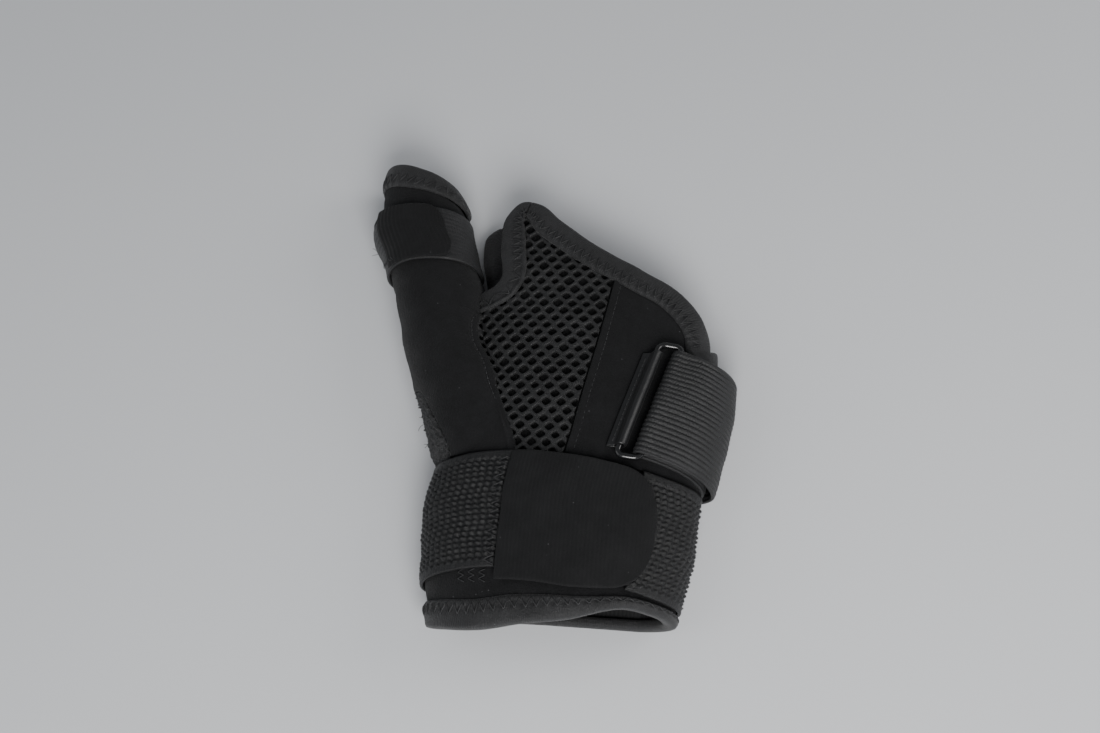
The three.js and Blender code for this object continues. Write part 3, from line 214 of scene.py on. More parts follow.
TOP_POWER = 2.3
UNDER_POWER = 3.2
UNDER_SINK = 2.5
SECTION_STEPS = 96
CHUNK = 20000
TINY = 1e-9
AROUND_STEP = 0.012
ALONG_STEP = 1.5
CREASE_ROUNDING = 2.5


class SoftTube:
    """A soft tube lying on the table, with upright sections across Y.

    Around 0 is its right side and 0.5 its left one; the top lies between them and the underside from
    0.5 to 1. Shares are of the length walked along the top or the underside.
    """

    def __init__(self, section_at: Callable[[Array], tuple[Array, Array, Array, Array]]) -> None:
        """Keeps the function that gives left, right, crown and base for places along Y."""
        self.section_at = section_at

    def half(self, y: Array, is_top: bool) -> tuple[Array, Array, Array]:
        """Points of one half of the sections at y, right to left.

        Across is reach * sign(cos a) * |cos a|^(2 / power); up is the half's height * sin a, and the
        underside is cut level at the base.

        Args:
            y: places along the tube.
            is_top: whether the upper half is meant.

        Returns:
            X, Z and the length walked, each one row for a place.
        """
        left, right, crown, base = self.section_at(y)
        angle = np.linspace(0.0, np.pi, SECTION_STEPS + 1)
        power = TOP_POWER if is_top else UNDER_POWER
        across = np.sign(np.cos(angle)) * np.abs(np.cos(angle)) ** (2 / power)
        x = ((left + right) / 2)[:, None] + ((right - left) / 2)[:, None] * across
        waist = SIZES.waist_height
        if is_top:
            z = waist + (crown - waist)[:, None] * np.sin(angle)
        else:
            z = np.maximum(waist - (waist - base + UNDER_SINK)[:, None] * np.sin(angle), base[:, None])
        steps = np.hypot(np.diff(x, axis=1), np.diff(z, axis=1))
        walked = np.concatenate([np.zeros((len(y), 1)), np.cumsum(steps, axis=1)], axis=1)
        return x, z, walked

    def top_length(self, y: Array) -> Array:
        """Length of the top half of the sections at y."""
        return self.half(np.atleast_1d(np.asarray(y, float)), True)[2][:, -1]

    def point(self, around: Array, y: Array) -> Array:
        """Points of the tube at shares around and places y, of the shape that both broadcast to.

        Args:
            around: shares around.
            y: places along the body.

        Returns:
            The points.
        """
        around, y = np.broadcast_arrays(np.asarray(around, float), np.asarray(y, float))
        shape = around.shape
        turn = (around - np.floor(around)).ravel()
        place = y.ravel()
        out = np.empty((turn.size, 3))
        out[:, 1] = place
        for is_top in (True, False):
            chosen = np.flatnonzero((turn <= 0.5) == is_top)
            for part in np.array_split(chosen, max(1, len(chosen) // CHUNK)):
                if len(part) == 0:
                    continue
                x, z, walked = self.half(place[part], is_top)
                share = turn[part] * 2 if is_top else 2 - turn[part] * 2
                goal = share * walked[:, -1]
                i = np.clip((walked <= goal[:, None]).sum(axis=1) - 1, 0, SECTION_STEPS - 1)
                row = np.arange(len(part))
                t = (goal - walked[row, i]) / np.maximum(walked[row, i + 1] - walked[row, i], TINY)
                out[part, 0] = lerp(x[row, i], x[row, i + 1], t)
                out[part, 2] = lerp(z[row, i], z[row, i + 1], t)
        return out.reshape(*shape, 3)

    def normal(self, around: Array, y: Array) -> Array:
        """Directions that face out of the tube: the cross product of its two tangents.

        Args:
            around: shares around.
            y: places along the body.

        Returns:
            Directions of length 1.
        """
        around = np.asarray(around)
        y = np.asarray(y)
        across = self.point(around + AROUND_STEP, y) - self.point(around - AROUND_STEP, y)
        along = self.point(around, y + ALONG_STEP) - self.point(around, y - ALONG_STEP)
        return unit(np.cross(along, across))

    def around(self, x: Array, y: Array, is_top: bool = True) -> Array:
        """Shares around where the top or the underside has the place x.

        Args:
            x: places across.
            y: places along.
            is_top: whether the upper half is meant.

        Returns:
            Shares around.
        """
        x, y = np.broadcast_arrays(np.asarray(x, float), np.asarray(y, float))
        px, _, walked = self.half(y.ravel(), is_top)
        i = np.clip((px >= x.ravel()[:, None]).sum(axis=1) - 1, 0, SECTION_STEPS - 1)
        row = np.arange(x.size)
        t = np.clip((px[row, i] - x.ravel()) / np.maximum(px[row, i] - px[row, i + 1], TINY), 0, 1)
        share = lerp(walked[row, i], walked[row, i + 1], t) / walked[:, -1] / 2
        return (share if is_top else 1 - share).reshape(x.shape)

    def top_height(self, x: Array, y: Array) -> Array:
        """Height of the top at a place x, or nothing beside the tube."""
        left, right, crown, _ = self.section_at(np.asarray(y, float))
        share = np.abs((x - (left + right) / 2) / ((right - left) / 2))
        inside = np.sqrt(np.maximum(1 - np.minimum(share, 1.0) ** TOP_POWER, 0))
        return np.where(share < 1, SIZES.waist_height + (crown - SIZES.waist_height) * inside, 0.0)


def unit(v: Array) -> Array:
    """Vectors of length 1 with the same directions."""
    return v / np.maximum(np.linalg.norm(v, axis=-1, keepdims=True), TINY)


BASE = LAYERS.strap_top


def hand_section(y: Array) -> tuple[Array, Array, Array, Array]:
    """Left, right, crown and base of the hand tube at places y."""
    at = np.asarray(y, float) / SIZES.hand_length
    w = SIZES.hand_width
    return (
        column(HAND_SECTIONS, at, 1) * w,
        column(HAND_SECTIONS, at, 2) * w,
        column(HAND_SECTIONS, at, 3) * SIZES.hand_height,
        column(HAND_SECTIONS, at, 4) * BASE,
    )


def thumb_section(y: Array) -> tuple[Array, Array, Array, Array]:
    """Left, right, crown and base of the thumb tube at places y.

    Args:
        y: places along the body.

    Returns:
        The four values at each place.
    """
    y = np.asarray(y, float)
    below = y / SIZES.crotch_height
    above = 1 + (y - SIZES.crotch_height) / SIZES.thumb_length
    at = np.where(y < SIZES.crotch_height, below, above)
    right = column(THUMB_SECTIONS, at, 1) * SIZES.hand_width
    return (
        right - column(THUMB_SECTIONS, at, 2) * SIZES.thumb_width,
        right,
        column(THUMB_SECTIONS, at, 3) * SIZES.thumb_height,
        column(THUMB_SECTIONS, at, 4) * BASE,
    )


HAND = SoftTube(hand_section)
THUMB = SoftTube(thumb_section)


def body_top(x: Array, y: Array) -> Array:
    """Height of the body's top: the higher of the two tubes, with the crease between them rounded.

    Args:
        x: places across.
        y: places along.

    Returns:
        Heights above the table.
    """
    a = HAND.top_height(x, y)
    b = THUMB.top_height(x, y)
    start = THUMB_SECTIONS[0, 0] * SIZES.crotch_height
    mix = np.maximum(CREASE_ROUNDING - np.abs(a - b), 0) / CREASE_ROUNDING
    fade = 1 - ease((y / SIZES.crotch_height - 0.8) / 0.1)
    both = (y >= start) & (y <= SIZES.crotch_height) & (a > 0) & (b > 0)
    return np.maximum(a, b) + np.where(both, fade * mix * mix * CREASE_ROUNDING / 4, 0.0)


def top_point(x: Array, y: Array) -> Array:
    """Points on the body's top at places x and y."""
    return np.stack([x, y, body_top(x, y)], axis=-1)


def body_point(tube: SoftTube, around: Array, y: Array) -> Array:
    """Points of one tube's outside, raised where the other tube's top stands higher.

    Args:
        tube: the tube.
        around: shares around it.
        y: places along the body.

    Returns:
        The points.
    """
    p = tube.point(around, y)
    raised = np.maximum(p[..., 2], body_top(p[..., 0], p[..., 1]))
    on_top = (np.asarray(around) > 0) & (np.asarray(around) < 0.5)
    p[..., 2] = np.where(on_top, raised, p[..., 2])
    return p


def wrist_hem(around: Array) -> Array:
    """Place of the wrist hem along Y."""
    return ring_column(WRIST_HEM, around, 1) * SIZES.hand_length


def thumb_hem(around: Array) -> Array:
    """Place of the thumb hem along Y."""
    return SIZES.crotch_height + ring_column(THUMB_HEM, around, 1) * SIZES.thumb_length


class HemCurve:
    """The finger hem: a curve through its knots, from 0 at the right side round to 1."""

    def __init__(self) -> None:
        """Puts the knots on the hand tube."""
        knots = []
        for is_top, across, along in FINGER_HEM:
            y = np.array([along * SIZES.hand_length])
            around = HAND.around(np.array([across * SIZES.hand_width]), y, bool(is_top))
            knots.append([around[0], along])
        self.knots = np.array(knots)

    def at(self, share: Array) -> tuple[Array, Array]:
        """Shares around and places y of the hem.

        Between two knots it is the centripetal Catmull-Rom curve, and from the last knot back to the
        first a straight line.

        Args:
            share: shares of the way round.

        Returns:
            Shares around the hand tube, and places along Y.
        """
        k = self.knots
        count = len(k)
        turn = np.asarray(share, float) - np.floor(share)
        last = (count - 1) / count
        p = np.minimum(turn / last, 1.0) * (count - 1)
        i = np.clip(np.floor(p).astype(int), 0, count - 2)
        w = (p - i)[..., None]
        padded = np.vstack([2 * k[0] - k[1], k, 2 * k[-1] - k[-2]])
        a, b, c, d = padded[i], padded[i + 1], padded[i + 2], padded[i + 3]
        ab = np.maximum(np.sum((b - a) ** 2, -1, keepdims=True) ** 0.25, 1e-4)
        bc = np.maximum(np.sum((c - b) ** 2, -1, keepdims=True) ** 0.25, 1e-4)
        cd = np.maximum(np.sum((d - c) ** 2, -1, keepdims=True) ** 0.25, 1e-4)
        t1 = ((b - a) / ab - (c - a) / (ab + bc) + (c - b) / bc) * bc
        t2 = ((c - b) / bc - (d - b) / (bc + cd) + (d - c) / cd) * bc
        q = b + t1 * w + (3 * (c - b) - 2 * t1 - t2) * w**2 + (2 * (b - c) + t1 + t2) * w**3
        t = np.clip((turn - last) / (1 - last), 0, 1)[..., None]
        home = k[0] + np.array([1.0, 0.0])
        q = np.where((turn > last)[..., None], lerp(k[-1], home, t), q)
        return q[..., 0], q[..., 1] * SIZES.hand_length


HEM = HemCurve()


def finger_hem(share: Array) -> tuple[Array, Array]:
    """Share around the hand tube and place y of the finger hem."""
    return HEM.at(share)


def hem_on_top(around: Array) -> Array:
    """Place y of the finger hem over the top of the hand, for shares around from the right side.

    Args:
        around: shares around the hand tube.

    Returns:
        Places along Y.
    """
    share = np.linspace(-0.06, 0.36, 240)
    u, y = finger_hem(share)
    u = np.where(u > 0.6, u - 1, u)
    order = np.argsort(u)
    return np.interp(around, u[order], y[order])


# Where the two seams on top run: along the hand, edge of the thumb panel, edge of the palm panel
PANEL_SEAMS = np.array([
    [0.3, -0.105, 0.04], [0.37, -0.135, 0.047], [0.425, -0.176, 0.059], [0.5, -0.25, 0.072],
    [0.56, -0.306, 0.083], [0.625, -0.38, 0.096], [0.69, -0.4, 0.106], [0.74, -0.345, 0.114],
    [0.79, -0.33, 0.121], [1.0, -0.33, 0.15],
])
STRIP_SEAM = np.array([
    [0.43, -0.39], [0.49, -0.4], [0.53, -0.43], [0.58, -0.475], [0.65, -0.545], [0.72, -0.62],
])
WRIST_STRAP_SWAY = np.array([
    [0.0, -0.08], [0.06, -0.08], [0.12, -0.06], [0.2, -0.015], [0.28, 0.0], [0.36, -0.02],
    [0.44, -0.06], [0.5, -0.09], [0.57, -0.1], [0.75, -0.1], [0.9, -0.09],
])
THUMB_STRAP_SWAY = np.array([[0.0, 0.06], [0.25, 0.02], [0.5, -0.06], [0.75, 0.02]])
HAND_STRAP_SWAY = np.array([
    [-0.4, -0.125], [-0.05, -0.13], [0.0, -0.115], [0.04, -0.083],
    [0.08, -0.043], [0.12, -0.014], [0.16, 0.0], [0.3, 0.0],
])
COVER_RIGHT = -0.06
COVER_LEFT = 0.56


def thumb_seam(y: Array) -> Array:
    """Place across of the thumb panel's edge on top."""
    return column(PANEL_SEAMS, np.asarray(y) / SIZES.hand_length, 1) * SIZES.hand_width


def palm_seam(y: Array) -> Array:
    """Place across of the palm panel's edge on top."""
    return column(PANEL_SEAMS, np.asarray(y) / SIZES.hand_length, 2) * SIZES.hand_width


def wrist_strap_middle(around: Array) -> Array:
    """Place y of the wrist strap's middle."""
    return SIZES.wrist_strap_set + ring_column(WRIST_STRAP_SWAY, around, 1) * SIZES.wrist_strap_width


def wrist_strap_top(around: Array) -> Array:
    """Place y of the wrist strap's upper edge."""
    return wrist_strap_middle(around) + SIZES.wrist_strap_width / 2


def thumb_strap_middle(around: Array) -> Array:
    """Place y of the thumb strap's middle."""
    sway = ring_column(THUMB_STRAP_SWAY, around, 1) * SIZES.thumb_strap_width
    return SIZES.crotch_height + SIZES.thumb_strap_set + sway


def crumple(p: Array) -> Array:
    """How far the soft body has given way at points p: four long waves added up.

    Every layer uses the same waves, so layers that lie on each other move together.

    Args:
        p: points.

    Returns:
        Distances in millimetres, nothing near the table.
    """
    x, y, z = p[..., 0], p[..., 1], p[..., 2]
    wave = 0.30 * np.sin(0.105 * x + 0.062 * y + 0.9) * np.sin(0.071 * y - 0.043 * x + 0.4)
    wave += 0.22 * np.sin(0.19 * y + 0.08 * x + 2.2) * np.sin(0.13 * x + 0.05 * z)
    wave += 0.13 * np.sin(0.31 * x - 0.23 * y + 0.6)
    wave += 0.10 * np.sin(0.42 * y + 0.17 * x + 1.1)
    rests = ease((z - 6.0) / 8.0)
    return wave * rests


def rough(p: Array, wavelength: float, seed: float) -> Array:
    """Small unevenness at points p: three crossed waves near one wavelength, between -1 and 1.

    Args:
        p: points.
        wavelength: wavelength in millimetres.
        seed: shifts the waves against each other.

    Returns:
        Values between -1 and 1.
    """
    k = 2 * np.pi / wavelength
    x, y, z = p[..., 0], p[..., 1], p[..., 2]
    a = np.sin(k * (x * 0.83 + y * 0.41 + z * 0.37) + seed)
    b = np.sin(k * (y * 0.91 - x * 0.33 + z * 0.52) * 1.27 + 2.1 * seed)
    c = np.sin(k * (x * 0.52 - y * 0.66 + z * 0.71) * 0.79 + 3.7 * seed)
    return (a * b + b * c + c * a) / 3


def uneven(*waves: tuple[float, float, float]) -> Relief:
    """A relief of waves alone, each given by its height, wavelength and seed."""

    def relief(p: Array, u: Array, v: Array) -> Array:
        """The sum of the waves at points p, wherever they lie on the cloth."""
        return sum(height * rough(p, wavelength, seed) for height, wavelength, seed in waves)

    return relief


def edged(length: float, step: float, closed: bool = False) -> Array:
    """Shares of a length at even steps, with closer ones beside both ends where an edge is rounded.

    Args:
        length: length in millimetres.
        step: wanted step in millimetres.
        closed: whether the row meets itself, which has no ends.

    Returns:
        Rising shares from 0 to 1, without 1 if closed.
    """
    if closed:
        return np.arange(round(length / step)) / round(length / step)
    near = np.array([0.0, 0.1, 0.3, 0.6, 1.0]) / length
    inner = np.linspace(1.5 / length, 1 - 1.5 / length, max(2, round((length - 3) / step)))
    return np.concatenate([near, inner, 1 - near[::-1]])


def walked(points: Array, axis: int) -> Array:
    """Length walked along one axis of a grid of points."""
    steps = np.linalg.norm(np.diff(points, axis=axis), axis=-1)
    zero = np.zeros_like(np.take(steps, [0], axis=axis))
    return np.concatenate([zero, np.cumsum(steps, axis=axis)], axis=axis)


def grid_normal(points: Array, closed: bool) -> Array:
    """Directions square to a grid of points: the cross product of its two gradients."""
    if closed:
        across = np.roll(points, -1, axis=0) - np.roll(points, 1, axis=0)
    else:
        across = np.gradient(points, axis=0)
    return unit(np.cross(np.gradient(points, axis=1), across))


def turned_over(quads: Faces) -> Faces:
    """Faces that look the other way; a row that ends in -1 is a triangle."""
    return np.where(quads[:, 3:] < 0, quads[:, [2, 1, 0, 3]], quads[:, ::-1])


def enclosed(points: Array, quads: Faces) -> float:
    """Volume that closed faces enclose: a sum over triangles of a . (b x c) / 6, negative inside out."""
    quads = np.where(quads < 0, quads[:, 2:3], quads)
    a, b, c, d = (points[quads[:, k]] for k in range(4))
    halves = np.sum(a * (np.cross(b, c) + np.cross(c, d)))
    return float(halves) / 6


def new_mesh(name: str, points: Array, quads: Faces, uv: Array | None = None) -> bpy.types.Object:
    """A mesh object in the row frame from points in the pieces' millimetres.

    Args:
        name: name of the piece.
        points: corners, one row each.
        quads: corner numbers of each face, four in a row; -1 as the last makes a triangle.
        uv: map coordinates of each corner, in metres, or nothing.

    Returns:
        The new object, smooth shaded.
    """
    if enclosed(points, quads) < 0:
        quads = turned_over(quads)
    corners = quads[quads >= 0]
    counts = np.sum(quads >= 0, axis=1)
    mesh = bpy.data.meshes.new(name)
    mesh.vertices.add(len(points))
    mesh.vertices.foreach_set("co", ((points - ORIGIN) * MM).astype(np.float32).ravel())
    mesh.loops.add(len(corners))
    mesh.loops.foreach_set("vertex_index", corners.astype(np.int32))
    mesh.polygons.add(len(quads))
    mesh.polygons.foreach_set("loop_start", (np.cumsum(counts) - counts).astype(np.int32))
    mesh.polygons.foreach_set("loop_total", counts.astype(np.int32))
    mesh.update(calc_edges=True)
    if uv is not None:
        layer = mesh.uv_layers.new(name="weave")
        layer.data.foreach_set("uv", uv[corners].astype(np.float32).ravel())
    mesh.polygons.foreach_set("use_smooth", np.ones(len(quads), dtype=bool))
    mesh.validate()
    made = bpy.data.objects.new(name, mesh)
    bpy.context.scene.collection.objects.link(made)
    return made


def grid_quads(rows: int, columns: int, closed: bool, start: int, flip: bool) -> Faces:
    """Faces of a grid of corners numbered row by row from start, turned over if flip.

    Args:
        rows: rows of corners.
        columns: corners in a row.
        closed: whether the last row meets the first.
        start: number of the first corner.
        flip: whether the faces look the other way.

    Returns:
        Corner numbers, four for each face.
    """
    count = rows if closed else rows - 1
    i = np.arange(count)[:, None]
    j = np.arange(columns - 1)[None, :]
    a = i * columns + j
    b = ((i + 1) % rows) * columns + j
    quads = np.stack([a, b, b + 1, a + 1], axis=-1).reshape(-1, 4) + start
    return quads[:, ::-1] if flip else quads


@dataclass
class Cloth:
    """One layer of cloth on a grid: where it lies, how thick it is and what its weave raises."""

    name: str
    surface: Surface
    across: Array
    along: Array
    low: float
    high: float
    relief: Relief
    closed: bool = False
    turned: bool = False
    follow: float = 1.0
    rounding: float = 0.7
    both: bool = False
    points: Array = field(init=False)
    out: Array = field(init=False)
    u: Array = field(init=False)
    v: Array = field(init=False)

    def __post_init__(self) -> None:
        """Works out the grid, its directions and the lengths walked on it."""
        s, t = np.meshgrid(self.across, self.along, indexing="ij")
        self.points = self.surface(s, t)
        self.out = grid_normal(self.points, self.closed) * (-1.0 if self.turned else 1.0)
        self.u = walked(self.points, 0)
        self.v = walked(self.points, 1)

    def build(self) -> bpy.types.Object:
        """Makes the cloth's two faces and its rounded edges as one closed mesh.

        Half the thickness at a distance d from an edge is half * sqrt(1 - (1 - d / r)^2) inside the
        rounding r, and the weave's relief fades out with it. The relief is on the outer face, or on both.

        Returns:
            The new object.
        """
        rows, columns = self.u.shape
        edge = np.minimum(self.v, self.v[:, -1:] - self.v)
        if not self.closed:
            edge = np.minimum(edge, np.minimum(self.u, self.u[-1:, :] - self.u))
        rounding = min(self.rounding, (self.high - self.low) * 0.6)
        f = np.sqrt(np.clip(1 - (1 - np.clip(edge / rounding, 0, 1)) ** 2, 0.02, 1))
        middle = (self.low + self.high) / 2 + self.follow * crumple(self.points)
        half = (self.high - self.low) / 2
        raised = self.relief(self.points, self.u, self.v)
        top = self.points + self.out * (middle + f * (half + raised))[..., None]
        below = raised if self.both else np.zeros_like(raised)
        under = self.points + self.out * (middle - f * (half + below))[..., None]
        count = rows * columns
        points = np.concatenate([top.reshape(-1, 3), under.reshape(-1, 3)])
        flip = not self.turned
        faces = [
            grid_quads(rows, columns, self.closed, 0, flip),
            grid_quads(rows, columns, self.closed, count, not flip),
        ]
        faces += self._rims(rows, columns, count, flip)
        uv = np.stack([self.u, self.v], axis=-1).reshape(-1, 2) * MM
        return new_mesh(self.name, points, np.concatenate(faces), np.concatenate([uv, uv]))

    def _rims(self, rows: int, columns: int, count: int, flip: bool) -> list[Faces]:
        """Faces that join the two sides along every free edge.

        Args:
            rows: rows of the grid.
            columns: corners in a row.
            count: corners of one side.
            flip: whether the faces look the other way.

        Returns:
            Corner numbers of each strip of faces.
        """
        spans = rows if self.closed else rows - 1
        i = np.arange(spans)
        here = i * columns
        ahead = ((i + 1) % rows) * columns
        low = np.stack([here, here + count, ahead + count, ahead], axis=-1)
        last = columns - 1
        high = np.stack([here + last, ahead + last, ahead + last + count, here + last + count], axis=-1)
        made = [low, high]
        if not self.closed:
            j = np.arange(columns - 1)
            end = (rows - 1) * columns
            made.append(np.stack([j, j + 1, j + 1 + count, j + count], axis=-1))
            made.append(np.stack([end + j, end + j + count, end + j + 1 + count, end + j + 1], axis=-1))
        return [m[:, ::-1] if flip else m for m in made]


@dataclass
class HemPath:
    """A way to lay things along a hem: distances into the fabric and heights above it."""

    tube: SoftTube
    hem: Callable[[Array], tuple[Array, Array]]
    side: float
    shares: Array

    def __post_init__(self) -> None:
        """Finds, at each share, how the tube's own coordinates change for a step into the fabric."""
        step = 0.004
        self.around, self.y = self.hem(self.shares)
        b, a = self.hem(self.shares - step / 2), self.hem(self.shares + step / 2)
        tangent = unit(self.tube.point(*a) - self.tube.point(*b))
        normal = self.tube.normal(self.around, self.y)
        inward = unit(np.cross(normal, tangent)) * self.side
        right = self.tube.point(self.around - step, self.y)
        left = self.tube.point(self.around + step, self.y)
        du = (left - right) / (2 * step)
        dy = (self.tube.point(self.around, self.y + 1) - self.tube.point(self.around, self.y - 1)) / 2
        uu, uy, yy = (du * du).sum(-1), (du * dy).sum(-1), (dy * dy).sum(-1)
        on_u, on_y = (inward * du).sum(-1), (inward * dy).sum(-1)
        det = uu * yy - uy * uy
        self.step_around = (on_u * yy - on_y * uy) / det
        self.step_y = (on_y * uu - on_u * uy) / det
        place = self.tube.point(self.around, self.y)
        gap = np.linalg.norm(np.diff(place, axis=0), axis=-1)
        self.length = np.concatenate([[0.0], np.cumsum(gap)])

    def lay(self, inward: Array, height: Array) -> Array:
        """Points at distances into the fabric and heights above it, one row for each share.

        Args:
            inward: distances into the fabric.
            height: heights above the shell.

        Returns:
            The points, one row for each share.
        """
        inward = np.broadcast_to(inward, (len(self.shares), np.shape(inward)[-1]))
        around = self.around[:, None] + self.step_around[:, None] * inward
        y = self.y[:, None] + self.step_y[:, None] * inward
        p = self.tube.point(around, y)
        return p + self.tube.normal(around, y) * (height + crumple(p))[..., None]


def lofted(name: str, rings: Array, closed: bool) -> bpy.types.Object:
    """A closed body through rings of corners, with its ends shut unless it meets itself.

    Args:
        name: name of the piece.
        rings: corners, (rings, corners of a ring, 3).
        closed: whether the last ring joins the first.

    Returns:
        The new object.
    """
    count, sides = rings.shape[:2]
    spans = count if closed else count - 1
    i = np.arange(spans)[:, None]
    j = np.arange(sides)[None, :]
    a = i * sides + j
    b = ((i + 1) % count) * sides + j
    c = ((i + 1) % count) * sides + (j + 1) % sides
    d = i * sides + (j + 1) % sides
    faces = [np.stack([a, b, c, d], axis=-1).reshape(-1, 4)]
    if not closed:
        k = np.arange(sides // 2 - 1)
        cap = np.stack([k, k + 1, sides - 2 - k, sides - 1 - k], axis=-1)
        faces += [cap, cap[:, ::-1] + (count - 1) * sides]
    along = np.concatenate([[0.0], np.cumsum(np.linalg.norm(np.diff(rings[:, 0], axis=0), axis=-1))])
    round_it = np.concatenate([[0.0], np.cumsum(np.linalg.norm(np.diff(rings[0], axis=0), axis=-1))])
    uv = np.stack(np.broadcast_arrays(along[:, None], round_it[None, :]), axis=-1).reshape(-1, 2) * MM
    return new_mesh(name, rings.reshape(-1, 3), np.concatenate(faces), uv)


def round_path(path: Array, up: Array, radius: float, sides: int, closed: bool) -> Array:
    """Rings of a round wire along a path.

    Args:
        path: points of the path.
        up: a direction that the path never runs along, one for all or one for each point.
        radius: radius of the wire.
        sides: corners of each ring.
        closed: whether the path meets itself.

    Returns:
        Corners, (points of the path, sides, 3).
    """
    if closed:
        along = unit(np.roll(path, -1, axis=0) - np.roll(path, 1, axis=0))
    else:
        along = unit(np.gradient(path, axis=0))
    side = unit(np.cross(along, np.broadcast_to(up, path.shape)))
    upright = np.cross(side, along)
    angle = np.arange(sides) * 2 * np.pi / sides
    across = side[:, None] * np.cos(angle)[None, :, None]
    return path[:, None] + radius * (across + upright[:, None] * np.sin(angle)[None, :, None])


STITCH_SIDES = 4
STITCH_RINGS = 5
THREAD_RADIUS = 0.2


def thread_faces(rings: int) -> Faces:
    """Faces of one thread with this many rings, its two ends shut.

    Args:
        rings: rings of the thread.

    Returns:
        Corner numbers, four for each face.
    """
    i = np.arange(rings - 1)[:, None]
    j = np.arange(STITCH_SIDES)[None, :]
    here = i * STITCH_SIDES
    ahead = (i + 1) * STITCH_SIDES
    after = (j + 1) % STITCH_SIDES
    sides = np.stack([here + j, ahead + j, ahead + after, here + after], axis=-1).reshape(-1, 4)
    end = np.arange(STITCH_SIDES)
    return np.vstack([sides, end, end[::-1] + (rings - 1) * STITCH_SIDES])


def stitched(
    name: str, starts: Array, ends: Array, up: Array, rise: float, radius: float = THREAD_RADIUS
) -> bpy.types.Object:
    """Many short stitches as one mesh: each a thread that arches from its start to its end.

    A point at share t of a stitch stands rise * sin(pi * t) over the cloth, less what sinks into it.

    Args:
        name: name of the piece.
        starts: where the stitches come up, one row each.
        ends: where they go down.
        up: directions square to the cloth.
        rise: height of the arch.
        radius: radius of the thread.

    Returns:
        The new object.
    """
    t = np.linspace(0, 1, STITCH_RINGS)
    path = lerp(starts[:, None], ends[:, None], t[None, :, None])
    path = path + up[:, None] * (rise * np.sin(np.pi * t) - radius * 0.6)[None, :, None]
    side = unit(np.cross(ends - starts, up))
    angle = np.arange(STITCH_SIDES) * 2 * np.pi / STITCH_SIDES
    section = side[:, None] * np.cos(angle)[None, :, None] + up[:, None] * np.sin(angle)[None, :, None]
    points = path[:, :, None] + radius * section[:, None]
    offset = np.arange(len(starts))[:, None, None] * STITCH_RINGS * STITCH_SIDES
    faces = thread_faces(STITCH_RINGS)[None] + offset
    return new_mesh(name, points.reshape(-1, 3), faces.reshape(-1, 4))


def strands(name: str, paths: list[Array], radius: float) -> bpy.types.Object:
    """Loose threads as one mesh, each a thin round path.

    Args:
        name: name of the piece.
        paths: points of each thread.
        radius: radius of the threads.

    Returns:
        The new object.
    """
    up = np.array([0.13, 0.21, 0.97])
    points = []
    faces = []
    start = 0
    for path in paths:
        rings = round_path(path, up, radius, STITCH_SIDES, False)
        points.append(rings.reshape(-1, 3))
        faces.append(thread_faces(len(path)) + start)
        start += len(path) * STITCH_SIDES
    return new_mesh(name, np.concatenate(points), np.concatenate(faces))


class Look(Enum):
    """The kinds of surface on the splint."""

    PILE = "pile"
    LOOPS = "loops"
    RIBS = "ribs"
    HOOKS = "hooks"
    TAPE = "tape"
    NET = "net"
    SCRUB = "scrub"
    LINING = "lining"
    THREAD = "thread"
    CASING = "casing"
    WIRE = "wire"


@dataclass(frozen=True)
class Finish:
    """How one kind of fabric looks: its colours, roughness, sheen and the depth of its weave."""

    look: Look
    dark: tuple[float, float, float]
    worn: tuple[float, float, float]
    roughness: float = 0.9
    sheen: float = 0.15
    grain: float = 1.2
    depth: float = 0.15
    rib: float = 0.0
    rib_depth: float = 0.0
    lint: float = 0.35
    coat: float = 0.0
    glint: float = 0.3


